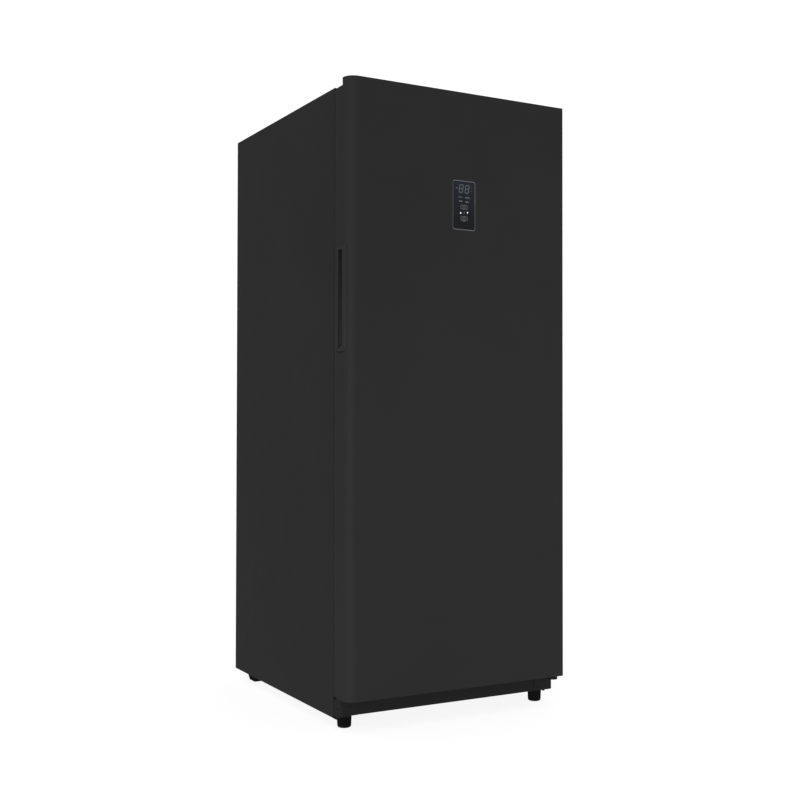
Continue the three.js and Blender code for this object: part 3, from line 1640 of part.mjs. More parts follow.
piece(cabinetGroup, "hinge_pin_upper", hingePin(topPinHead, 1, topPinTip), zincSteel());
const lowPinHead = lowShelfZ - lowHingePlate - seat;
const lowPinTip = doorLowZ + bushLength - 2;
piece(cabinetGroup, "hinge_pin_lower", hingePin(lowPinHead, -1, lowPinTip), zincSteel());
piece(cabinetGroup, "rear_foot_left", rearFoot(-1), rubber());
piece(cabinetGroup, "rear_foot_right", rearFoot(1), rubber());
piece(cabinetGroup, "levelling_foot_left", levellingFoot(-footX), rubber());
piece(cabinetGroup, "levelling_foot_right", levellingFoot(footX), rubber());

piece(cabinetGroup, "compressor", compressor(), blackSteel());
piece(cabinetGroup, "relay_cover", relayCover(), darkPlastic());
piece(cabinetGroup, "drip_tray", dripTray(), darkPlastic());
piece(cabinetGroup, "filter_drier", filterDrier(), copper());
piece(cabinetGroup, "refrigerant_pipe", refrigerantPipe(), copper());
piece(cabinetGroup, "control_box", controlBox(), darkPlastic());
piece(cabinetGroup, "machine_cover", machineCover(), darkPlastic());
piece(cabinetGroup, "cord_gland", cordGland(), rubber());

piece(cabinetGroup, "evaporator_cover", evaporatorCover(), whitePlastic());
piece(cabinetGroup, "evaporator_coil", evaporatorCoil(), zincSteel());
piece(cabinetGroup, "defrost_heater", defrostHeater(), zincSteel());
piece(cabinetGroup, "drain_tube", drainTube(), darkPlastic());
piece(cabinetGroup, "fan_motor", fanMotor(), darkPlastic());
piece(cabinetGroup, "fan_rotor", fanRotor(), whitePlastic());
piece(cabinetGroup, "lamp", lamp(), clearPlastic());

for (let i = 0; i < shelfCount; i++) {
  piece(cabinetGroup, `shelf_pane_${i + 1}`, shelfPane(i), glass());
  piece(cabinetGroup, `shelf_trim_${i + 1}`, shelfTrim(i), whitePlastic());
}
piece(cabinetGroup, "basket_runner_left", basketRunner(-1), whitePlastic());
piece(cabinetGroup, "basket_runner_right", basketRunner(1), whitePlastic());
piece(cabinetGroup, "basket", basket(), clearPlastic());

piece(doorGroup, "door_skin", doorSkin(), charcoal());
piece(doorGroup, "door_cap_top", doorCapTop(), darkPlastic());
piece(doorGroup, "door_cap_bottom", doorCapBottom(), darkPlastic());
piece(doorGroup, "door_foam", doorFoam(), foam());
piece(doorGroup, "door_liner", doorLiner(), whitePlastic());
piece(doorGroup, "door_seal", doorSeal(), sealVinyl());
piece(doorGroup, "handle_insert", handleInsert(), charcoal());
const topBushFlange = topPlateZ - 2 * seat;
const topBush = hingeBush(topBushFlange, doorRearTopZ - bushLength, doorRearTopZ + seat);
piece(doorGroup, "hinge_bush_upper", topBush, whitePlastic());
const lowBush = hingeBush(lowShelfZ + seat, doorLowZ + bushLength, doorLowZ - seat);
piece(doorGroup, "hinge_bush_lower", lowBush, whitePlastic());
piece(doorGroup, "display_bezel", displayBezel(), finish(0x5a5b5e, 0.35, 0.3));
piece(doorGroup, "display_window", displayWindow(), finish(0x24272c, 0.12, 0));
piece(doorGroup, "display_board", displayBoard(), finish(0x12351f, 0.5, 0));
for (let i = 0; i < binCount; i++) {
  piece(doorGroup, `door_bin_${i + 1}`, doorBin(i), clearPlastic());
}

export default freezer;
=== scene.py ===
"""Looks of a free-standing upright freezer: its finishes, its small fittings, the studio and the camera.

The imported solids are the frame. This script gives each of them a finish, adds the pieces that are too small
or too fine for the solids, and lights the whole in a plain pale studio. Sizes are in metres.
"""

import json
import logging
import math
from dataclasses import dataclass, field
from enum import Enum
from typing import Iterable, Sequence

import bmesh
import bpy
from mathutils import Matrix, Vector


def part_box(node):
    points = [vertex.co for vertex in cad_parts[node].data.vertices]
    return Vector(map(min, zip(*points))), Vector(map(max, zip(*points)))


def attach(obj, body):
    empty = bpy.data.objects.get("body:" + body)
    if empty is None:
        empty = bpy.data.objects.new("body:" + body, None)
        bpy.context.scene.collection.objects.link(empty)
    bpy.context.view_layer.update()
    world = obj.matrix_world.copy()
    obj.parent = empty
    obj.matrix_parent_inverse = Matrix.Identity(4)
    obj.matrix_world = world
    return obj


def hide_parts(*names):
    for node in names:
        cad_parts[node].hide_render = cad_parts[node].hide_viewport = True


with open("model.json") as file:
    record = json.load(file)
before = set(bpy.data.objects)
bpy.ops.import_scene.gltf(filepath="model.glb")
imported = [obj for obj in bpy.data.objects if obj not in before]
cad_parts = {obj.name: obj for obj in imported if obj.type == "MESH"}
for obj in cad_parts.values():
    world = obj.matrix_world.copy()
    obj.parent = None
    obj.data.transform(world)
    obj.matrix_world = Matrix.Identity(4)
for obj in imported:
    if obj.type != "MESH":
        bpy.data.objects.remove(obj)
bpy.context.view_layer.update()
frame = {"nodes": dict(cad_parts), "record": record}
LOG = logging.getLogger("freezer")
MM = 0.001
Point = tuple[float, float]
Colour = tuple[float, float, float]
Spot = tuple[float, float, float]
Socket = bpy.types.NodeSocket
Finishes = dict[str, bpy.types.Material]


# ---- Colours and finishes ------------------------------------------------------------------------------


def linear(code: str) -> Colour:
    """Turns a six-digit screen colour into linear light.

    Args:
        code: The colour as hexadecimal digits.

    Returns:
        Its red, green and blue as linear values.
    """

    def one(value: float) -> float:
        """Undoes the screen's curve for one channel."""
        return value / 12.92 if value <= 0.04045 else ((value + 0.055) / 1.055) ** 2.4

    return tuple(one(int(code[i : i + 2], 16) / 255) for i in (0, 2, 4))


class Surface(Enum):
    """The kinds of surface that the freezer's pieces have."""

    PAINT = "baked paint on steel"
    MOULDED = "moulded plastic with a fine grain"
    SMOOTH = "smooth moulded plastic"
    ZINC = "zinc-coated sheet"
    FOAM = "cut foam"
    VINYL = "soft vinyl"
    RUBBER = "rubber"
    METAL = "drawn metal"
    TARNISH = "tarnished copper"
    GLASS = "clear glass"
    CLEAR = "clear plastic"
    WINDOW = "tinted display window"
    # The pocket's paler inside is painted light, with painted shade at its head.
    POCKET = "moulded plastic, paler inside its pocket"
    # The rim's brighter short runs are a painted highlight.
    RIM = "satin rim, brighter on its short runs"
    BOARD = "circuit board"


class NodeSheet:
    """A small helper that places and joins the nodes of one tree."""

    def __init__(self, tree: bpy.types.NodeTree) -> None:
        """Keeps the tree that the nodes go into."""
        self.tree = tree

    def feed(self, node: bpy.types.Node, inputs: dict[int | str, object]) -> None:
        """Links or sets a node's inputs.

        Args:
            node: The node.
            inputs: Each input's name or number, with the socket to link or the value to set.
        """
        for name, value in inputs.items():
            if isinstance(value, Socket):
                self.tree.links.new(value, node.inputs[name])
            else:
                node.inputs[name].default_value = value

    def add(self, kind: str, **settings: object) -> bpy.types.Node:
        """Adds a node.

        Args:
            kind: The node's type name without the leading ShaderNode.
            settings: Properties to set on the node, or its inputs as in_NAME or in_NUMBER.

        Returns:
            The new node.
        """
        node = self.tree.nodes.new("ShaderNode" + kind)
        for key, value in settings.items():
            if key.startswith("in_"):
                name = key[3:]
                self.feed(node, {int(name) if name.isdigit() else name.replace("_", " "): value})
            else:
                setattr(node, key, value)
        return node

    def place(self) -> Socket:
        """Gives the spot on the piece, in the piece's own space."""
        return self.add("TexCoord").outputs["Object"]

    def spot(self) -> bpy.types.NodeOutputs:
        """Gives that spot's X, Y and Z by name."""
        return self.add("SeparateXYZ", in_Vector=self.place()).outputs

    def math(self, operation: str, a: object, b: object = 0.0, clamp: bool = False) -> Socket:
        """Adds a sum, product or other operation on two values and returns its result."""
        return self.add("Math", operation=operation, use_clamp=clamp, in_0=a, in_1=b).outputs[0]

    def ramp(self, value: Socket, low: float, high: float) -> Socket:
        """Stretches a value between two limits onto 0 to 1."""
        node = self.add("MapRange", clamp=True, in_Value=value, in_From_Min=low, in_From_Max=high)
        return node.outputs["Result"]

    def mix(self, factor: object, a: object, b: object) -> Socket:
        """Mixes two colours and returns the result."""
        node = self.add("Mix", data_type="RGBA")
        a, b = ((*side, 1.0) if isinstance(side, tuple) else side for side in (a, b))
        self.feed(node, {0: factor, 6: a, 7: b})
        return node.outputs[2]


@dataclass
class Effects:
    """Surface effects that several finishes share, each as one node group."""

    groups: dict[str, bpy.types.NodeTree] = field(default_factory=dict)

    def _new(self, name: str, inputs: dict[str, float], outputs: dict[str, str]) -> tuple:
        """Starts a group with number inputs and the given outputs.

        Args:
            name: The group's name.
            inputs: Each input's name and its usual value.
            outputs: Each output's name and socket type, without the leading NodeSocket.

        Returns:
            The node helper, the group's inputs by name, and its output node.
        """
        tree = bpy.data.node_groups.new(name, "ShaderNodeTree")
        for label, value in inputs.items():
            socket = tree.interface.new_socket(label, in_out="INPUT", socket_type="NodeSocketFloat")
            socket.default_value = value
        for label, kind in outputs.items():
            tree.interface.new_socket(label, in_out="OUTPUT", socket_type="NodeSocket" + kind)
        self.groups[name] = tree
        given = tree.nodes.new("NodeGroupInput").outputs
        return NodeSheet(tree), given, tree.nodes.new("NodeGroupOutput")

    def build(self) -> None:
        """Builds every group."""
        for make in (self._grain, self._edges, self._dust, self._clouds, self._spangle, self._cells):
            make()

    def _grain(self) -> None:
        """Fine raised grain, as on moulded plastic or sprayed paint."""
        sheet, given, end = self._new("fine_grain", {"Scale": 900.0, "Softness": 0.5}, {"Height": "Float"})
        noise = sheet.add("TexNoise", in_Vector=sheet.place(), in_Scale=given["Scale"], in_Detail=3.0,
                          in_Roughness=given["Softness"])
        sheet.feed(end, {"Height": noise.outputs["Fac"]})

    def _edges(self) -> None:
        """Softened edges, with a mask where the edge is handled or knocked."""
        sheet, given, end = self._new(
            "soft_edges", {"Radius": 0.001, "Spread": 1.0}, {"Normal": "Vector", "Edge": "Float"}
        )
        bevel = sheet.add("Bevel", samples=6, in_Radius=given["Radius"])
        flat = sheet.add("NewGeometry").outputs["True Normal"]
        dot = sheet.add("VectorMath", operation="DOT_PRODUCT", in_0=bevel.outputs[0], in_1=flat)
        turn = sheet.math("SUBTRACT", 1.0, dot.outputs["Value"], clamp=True)
        noise = sheet.add("TexNoise", in_Vector=sheet.place(), in_Scale=55.0, in_Detail=4.0)
        broken = sheet.math("MULTIPLY", sheet.ramp(turn, 0.02, 0.25), sheet.ramp(noise.outputs["Fac"], 0.42, 0.62))
        edge = sheet.math("MULTIPLY", broken, given["Spread"], clamp=True)
        sheet.feed(end, {"Normal": bevel.outputs[0], "Edge": edge})

    def _dust(self) -> None:
        """A thin film of dust on what faces up."""
        sheet, given, end = self._new("dust_film", {"Amount": 0.1}, {"Mask": "Float"})
        normal = sheet.add("NewGeometry").outputs["Normal"]
        up = sheet.add("SeparateXYZ", in_Vector=normal).outputs["Z"]
        noise = sheet.add("TexNoise", in_Vector=sheet.place(), in_Scale=14.0, in_Detail=6.0)
        mask = sheet.math("MULTIPLY", sheet.ramp(up, 0.4, 1.0), sheet.ramp(noise.outputs["Fac"], 0.35, 0.75))
        sheet.feed(end, {"Mask": sheet.math("MULTIPLY", mask, given["Amount"])})

    def _clouds(self) -> None:
        """Slow changes of tone, and the smears that wiping leaves in the gloss."""
        sheet, given, end = self._new(
            "slow_clouds", {"Scale": 6.0, "Stretch": 1.0}, {"Tone": "Float", "Smear": "Float"}
        )
        place = sheet.place()
        size = sheet.add("CombineXYZ", in_X=1.0, in_Y=1.0, in_Z=given["Stretch"]).outputs[0]
        drawn = sheet.add("VectorMath", operation="MULTIPLY", in_0=place, in_1=size).outputs[0]
        tone = sheet.add("TexNoise", in_Vector=drawn, in_Scale=given["Scale"], in_Detail=2.0)
        finer = sheet.math("MULTIPLY", given["Scale"], 5.0)
        smear = sheet.add("TexNoise", in_Vector=drawn, in_Scale=finer, in_Detail=5.0, in_Distortion=0.6)
        sheet.feed(end, {"Tone": tone.outputs["Fac"], "Smear": smear.outputs["Fac"]})

    def _spangle(self) -> None:
        """The flat crystals of a zinc coat."""
        sheet, given, end = self._new("zinc_spangle", {"Scale": 90.0}, {"Tone": "Float", "Height": "Float"})
        cells = sheet.add("TexVoronoi", in_Vector=sheet.place(), in_Scale=given["Scale"])
        tone = sheet.add("SeparateXYZ", in_Vector=cells.outputs["Color"]).outputs["X"]
        sheet.feed(end, {"Tone": tone, "Height": cells.outputs["Distance"]})

    def _cells(self) -> None:
        """The open cells of foam, or the pebbles of rubber and vinyl, with a mask of the cells' pits for foam's
        painted shade.
        """
        sheet, given, end = self._new("small_cells", {"Scale": 500.0}, {"Height": "Float", "Pit_Shade": "Float"})
        cells = sheet.add("TexVoronoi", in_Vector=sheet.place(), in_Scale=given["Scale"])
        pit_shade = sheet.ramp(cells.outputs["Distance"], 0.55, 0.85)
        sheet.feed(end, {"Height": cells.outputs["Distance"], "Pit_Shade": pit_shade})

    def use(self, sheet: NodeSheet, name: str, **values: float) -> bpy.types.NodeOutputs:
        """Places a group in a material.

        Args:
            sheet: The material's node helper.
            name: The group's name.
            values: The group's input values by name.

        Returns:
            The group's outputs by name.
        """
        node = sheet.add("Group", node_tree=self.groups[name])
        sheet.feed(node, values)
        return node.outputs


WORN_GAIN, WORN_LIFT, WORN_POLISH = 1.6, 0.03, -0.1  # what handling does to an edge's colour and gloss
DUST_COLOUR, DUST_DULLING = "9a958c", 0.5
COAT_ROUGHNESS = 0.15
DRAWN_STRETCH = 0.12  # drawn metal's clouds run along its length
METAL_CLOUDS, PLAIN_CLOUDS = 22.0, 4.0
CRYSTAL_DULLING = 0.18
FOAM_PIT_SHADE = 0.55


@dataclass(frozen=True)
class Finish:
    """One finish: its surface, colour and gloss, how much grain, wear and dust it carries, and any painted glow.
    """

    name: str
    surface: Surface
    colour: str
    roughness: float
    metallic: float = 0.0
    specular: float = 0.5
    coat: float = 0.0
    grain_scale: float = 900.0
    grain_depth: float = 0.00002
    tone: float = 0.12
    smear: float = 0.06
    edge: float = 0.25
    edge_radius: float = 0.0008
    dust: float = 0.05
    transmission: float = 0.0
    alpha: float = 1.0
    ior: float = 1.5
    painted_glow: float = 0.0

    def material(self, effects: Effects) -> bpy.types.Material:
        """Builds the material.

        Args:
            effects: The shared effects.

        Returns:
            The finished material.
        """
        made = bpy.data.materials.new(self.name)
        made.use_nodes = True
        made.node_tree.nodes.clear()
        sheet = NodeSheet(made.node_tree)
        shader = sheet.add("BsdfPrincipled")
        sheet.add("OutputMaterial", in_Surface=shader.outputs[0])
        colour, roughness, height = self._skin(sheet, effects)
        edges = effects.use(sheet, "soft_edges", Radius=self.edge_radius, Spread=self.edge)
        dust = effects.use(sheet, "dust_film", Amount=self.dust)["Mask"]
        lighter = tuple(min(1.0, c * WORN_GAIN + WORN_LIFT) for c in linear(self.colour))
        colour = sheet.mix(edges["Edge"], colour, lighter)
        colour = sheet.mix(dust, colour, linear(DUST_COLOUR))
        rubbed = sheet.math("MULTIPLY", edges["Edge"], WORN_POLISH)
        dulled = sheet.math("MULTIPLY", dust, DUST_DULLING)
        roughness = sheet.math("ADD", roughness, sheet.math("ADD", rubbed, dulled), clamp=True)
        bump = sheet.add("Bump", in_Strength=1.0, in_Distance=self.grain_depth, in_Height=height,
                         in_Normal=edges["Normal"])
        sheet.feed(shader, {"Base Color": colour, "Roughness": roughness, "Normal": bump.outputs[0]})
        self._fixed(sheet, shader)
        # Painted light: the printed inks glow, though they are no lamp.
        if self.painted_glow:
            sheet.feed(shader, {"Emission Color": colour, "Emission Strength": self.painted_glow})
        return made

    def _fixed(self, sheet: NodeSheet, shader: bpy.types.Node) -> None:
        """Sets the values that are the same all over the surface.

        Args:
            sheet: The material's node helper.
            shader: The Principled BSDF node.
        """
        sheet.feed(shader, {
            "Metallic": self.metallic,
            "Specular IOR Level": self.specular,
            "Coat Weight": self.coat,
            "Coat Roughness": COAT_ROUGHNESS,
            "Transmission Weight": self.transmission,
            "Alpha": self.alpha,
            "IOR": self.ior,
        })

    def _skin(self, sheet: NodeSheet, effects: Effects) -> tuple:
        """Makes the colour, the gloss and the grain of this kind of surface.

        Args:
            sheet: The material's node helper.
            effects: The shared effects.

        Returns:
            The colour, roughness and height sockets.
        """
        base = linear(self.colour)
        dark = tuple(c * (1 - self.tone) for c in base)
        light = tuple(min(1.0, c * (1 + self.tone)) for c in base)
        kind = self.surface
        stretch = DRAWN_STRETCH if kind is Surface.METAL else 1.0
        scale = METAL_CLOUDS if kind in (Surface.TARNISH, Surface.METAL) else PLAIN_CLOUDS
        clouds = effects.use(sheet, "slow_clouds", Scale=scale, Stretch=stretch)
        colour = sheet.mix(sheet.ramp(clouds["Tone"], 0.3, 0.7), dark, light)
        spread = sheet.math("MULTIPLY", sheet.math("SUBTRACT", clouds["Smear"], 0.5), 2 * self.smear)
        roughness = sheet.math("ADD", self.roughness, spread, clamp=True)
        if kind is Surface.ZINC:
            crystals = effects.use(sheet, "zinc_spangle", Scale=self.grain_scale)
            colour = sheet.mix(crystals["Tone"], dark, light)
            patch = sheet.math("MULTIPLY", crystals["Tone"], CRYSTAL_DULLING)
            return colour, sheet.math("ADD", roughness, patch, clamp=True), crystals["Height"]
        if kind in (Surface.FOAM, Surface.VINYL, Surface.RUBBER):
            cells = effects.use(sheet, "small_cells", Scale=self.grain_scale)
            if kind is Surface.FOAM:
                # Painted shade: foam is darker in the pits of its cells.
                colour = sheet.mix(cells["Pit_Shade"], colour, tuple(c * FOAM_PIT_SHADE for c in base))
            return colour, roughness, cells["Height"]
        if kind is Surface.TARNISH:
            colour = sheet.mix(sheet.ramp(clouds["Smear"], 0.5, 0.7), colour, linear("5a3a28"))
        if kind is Surface.WINDOW:
            colour = self._tint(sheet, base)
        painted = {Surface.BOARD: self._tracks, Surface.POCKET: self._pocket, Surface.RIM: self._rim_painted_highlight}
        if kind in painted:
            colour = painted[kind](sheet, colour)
        grain = effects.use(sheet, "fine_grain", Scale=self.grain_scale, Softness=0.55)
        return colour, roughness, grain["Height"]

    def _pocket(self, sheet: NodeSheet, colour: Socket) -> Socket:
        """Paints light and shade inside the handle's pocket: painted shade darkens it at its head, under the top
        wall, and painted light makes it paler towards its foot.

        Args:
            sheet: The material's node helper.
            colour: The frame's colour.

        Returns:
            The colour socket.
        """
        low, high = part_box("handle_insert")
        spot = sheet.spot()
        # Painted light and shade: the pocket's inside is paler than the frame, darkest at its head and palest at
        # its foot.
        inside = sheet.ramp(spot["X"], low[0] + 0.0012, low[0] + 0.004)
        foot = sheet.ramp(spot["Z"], high[2] - 0.02, low[2] + 0.02)
        return sheet.mix(inside, colour, sheet.mix(foot, linear("2a2a2a"), linear("3e3e3e")))

    def _rim_painted_highlight(self, sheet: NodeSheet, colour: Socket) -> Socket:
        """Paints highlights on the rim's upper and lower runs and on the head of its right one, where they catch
        the light: a lighter colour than the rest.

        Args:
            sheet: The material's node helper.
            colour: The rim's colour.

        Returns:
            The colour socket.
        """
        low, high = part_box("display_bezel")
        spot = sheet.spot()
        middle = (low[2] + high[2]) / 2
        reach = (high[2] - low[2]) / 2
        away = sheet.math("ABSOLUTE", sheet.math("SUBTRACT", spot["Z"], middle))
        # Painted highlight: the head of the right run and the upper and lower runs are lighter.
        head = sheet.math("MULTIPLY", sheet.ramp(spot["X"], high[0] - 0.005, high[0] - 0.004),
                          sheet.ramp(spot["Z"], middle - 0.006, middle + 0.012))
        colour = sheet.mix(head, colour, linear("595a5f"))
        return sheet.mix(sheet.ramp(away, reach - 0.0032, reach - 0.0022), colour, linear("64656a"))

    def _tint(self, sheet: NodeSheet, base: Colour) -> Socket:
        """Makes the window darker towards its foot: blue-grey at the head, near black at the foot.

        Args:
            sheet: The material's node helper.
            base: The tint at the head.

        Returns:
            The colour socket.
        """
        low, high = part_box("display_window")
        return sheet.mix(sheet.ramp(sheet.spot()["Z"], low[2], high[2]), linear("141417"), base)

    def _tracks(self, sheet: NodeSheet, colour: Socket) -> Socket:
        """Draws copper tracks under the board's lacquer.

        Args:
            sheet: The material's node helper.
            colour: The lacquer's colour.

        Returns:
            The colour socket.
        """
        turned = sheet.add("Mapping", in_Vector=sheet.place(), in_Rotation=(math.pi / 2, 0.0, 0.0))
        bricks = sheet.add("TexBrick", in_Vector=turned.outputs[0], in_Scale=60.0, in_Mortar_Size=0.03)
        return sheet.mix(bricks.outputs["Fac"], colour, linear("2f6b3c"))


FINISHES: tuple[Finish, ...] = (
    Finish("case_steel", Surface.PAINT, "1f1f1f", 0.46, specular=0.1, grain_scale=1400, grain_depth=0.000012,
           tone=0.05, smear=0.05, edge=0.04, edge_radius=0.0009, dust=0.02),
    Finish("door_steel", Surface.PAINT, "202020", 0.44, specular=0.12, grain_scale=1400, grain_depth=0.00001,
           tone=0.05, smear=0.05, edge=0.02, dust=0.02),
    Finish("handle_plastic", Surface.POCKET, "232323", 0.42, specular=0.12, grain_scale=2200,
           grain_depth=0.00001, tone=0.06, edge=0.02, edge_radius=0.0005, dust=0.02),
    Finish("trim_plastic", Surface.MOULDED, "0f0f0f", 0.55, specular=0.15, grain_scale=1500,
           grain_depth=0.00003, tone=0.1),
    Finish("bracket_steel", Surface.PAINT, "0f0f0f", 0.5, specular=0.15, grain_depth=0.00003, edge=0.4,
           edge_radius=0.0006),
    Finish("galvanised_steel", Surface.ZINC, "a3a7aa", 0.34, metallic=0.9, grain_scale=110, tone=0.13, edge=0.2,
           edge_radius=0.0004, dust=0.12),
    Finish("foam", Surface.FOAM, "dfcf9f", 0.95, specular=0.2, grain_scale=700, grain_depth=0.0004, tone=0.14,
           edge=0.05, edge_radius=0.0015),
    Finish("liner_plastic", Surface.SMOOTH, "e9ebe9", 0.3, tone=0.015, smear=0.01, edge=0.03,
           edge_radius=0.0018, dust=0.0),
    Finish("white_plastic", Surface.SMOOTH, "e6e8e7", 0.36, grain_scale=700, tone=0.025, edge=0.03, dust=0.0),
    Finish("seal_vinyl", Surface.VINYL, "242424", 0.66, specular=0.1, grain_scale=1300, tone=0.08, edge=0.05,
           edge_radius=0.0009, dust=0.04),
    Finish("rubber", Surface.RUBBER, "080808", 0.75, specular=0.06, grain_scale=1600, grain_depth=0.00004,
           tone=0.15, edge=0.3, dust=0.12),
    Finish("compressor_steel", Surface.PAINT, "0f1012", 0.3, coat=0.3, grain_scale=350, grain_depth=0.00006,
           tone=0.1, edge=0.2, edge_radius=0.0015, dust=0.2),
    Finish("copper", Surface.TARNISH, "b56d43", 0.32, metallic=1.0, grain_scale=500, tone=0.2, edge=0.1,
           edge_radius=0.0004, dust=0.08),
    Finish("aluminium", Surface.METAL, "b4b7b9", 0.36, metallic=1.0, grain_scale=800, edge=0.1,
           edge_radius=0.0003, dust=0.04),
    Finish("shelf_glass", Surface.GLASS, "dff0ea", 0.04, transmission=1.0, grain_scale=60, grain_depth=0.000004,
           tone=0.02, smear=0.02, edge=0.5, edge_radius=0.0007, dust=0.01),
    Finish("clear_plastic", Surface.CLEAR, "e8f0f4", 0.12, transmission=0.85, ior=1.49, grain_scale=240,
           grain_depth=0.00001, tone=0.02, smear=0.04, edge=0.15, edge_radius=0.0009, dust=0.01),
    Finish("display_rim", Surface.RIM, "48494d", 0.3, metallic=0.4, grain_scale=1800, grain_depth=0.000008,
           tone=0.06, edge=0.35, edge_radius=0.0003, dust=0.0),
    Finish("display_glass", Surface.WINDOW, "1e2229", 0.14, specular=0.1, grain_scale=90, grain_depth=0.000002,
           tone=0.03, smear=0.03, edge=0.1, edge_radius=0.0004, dust=0.0),
    Finish("circuit_board", Surface.BOARD, "12351f", 0.4, tone=0.1, edge=0.1, edge_radius=0.0003, dust=0.02),
    Finish("bright_zinc", Surface.METAL, "9ea2a6", 0.3, metallic=1.0, grain_scale=700, tone=0.1, edge=0.3,
           edge_radius=0.0002),
    Finish("black_screw", Surface.METAL, "1a1a1b", 0.48, metallic=0.2, specular=0.3, tone=0.15, edge=0.3,
           edge_radius=0.0002),
    # The display's printed marks carry a painted glow.
    Finish("display_ink_painted_glow", Surface.SMOOTH, "54565b", 0.5, specular=0.2, grain_scale=2500, grain_depth=0.000003,
           tone=0.05, edge=0.0, edge_radius=0.0001, dust=0.0, painted_glow=0.35),
    Finish("key_line_ink_painted_glow", Surface.SMOOTH, "4e4b4d", 0.5, specular=0.2, grain_scale=2500, grain_depth=0.000003,
           tone=0.05, edge=0.0, edge_radius=0.0001, dust=0.0, painted_glow=0.33),
    Finish("key_ink_painted_glow", Surface.SMOOTH, "f0f1f2", 0.5, specular=0.2, grain_scale=2500, grain_depth=0.000003,
           tone=0.04, edge=0.0, edge_radius=0.0001, dust=0.0, painted_glow=0.5),
    Finish("lamp_chip", Surface.SMOOTH, "f2e6a0", 0.3, grain_depth=0.00001, tone=0.08, edge=0.0,
           edge_radius=0.0002, dust=0.0),
)


# ---- Mesh making ---------------------------------------------------------------------------------------


class Plane(Enum):
    """The plane that an outline is drawn in."""

    XY = (0, 1, 2)
    XZ = (0, 2, 1)
    YZ = (1, 2, 0)

    def at(self, a: float, b: float, c: float) -> Vector:
        """Puts outline coordinates a, b and the height c over the plane into space."""
        spot = [0.0, 0.0, 0.0]
        for axis, value in zip(self.value, (a, b, c)):
            spot[axis] = value
        return Vector(spot)


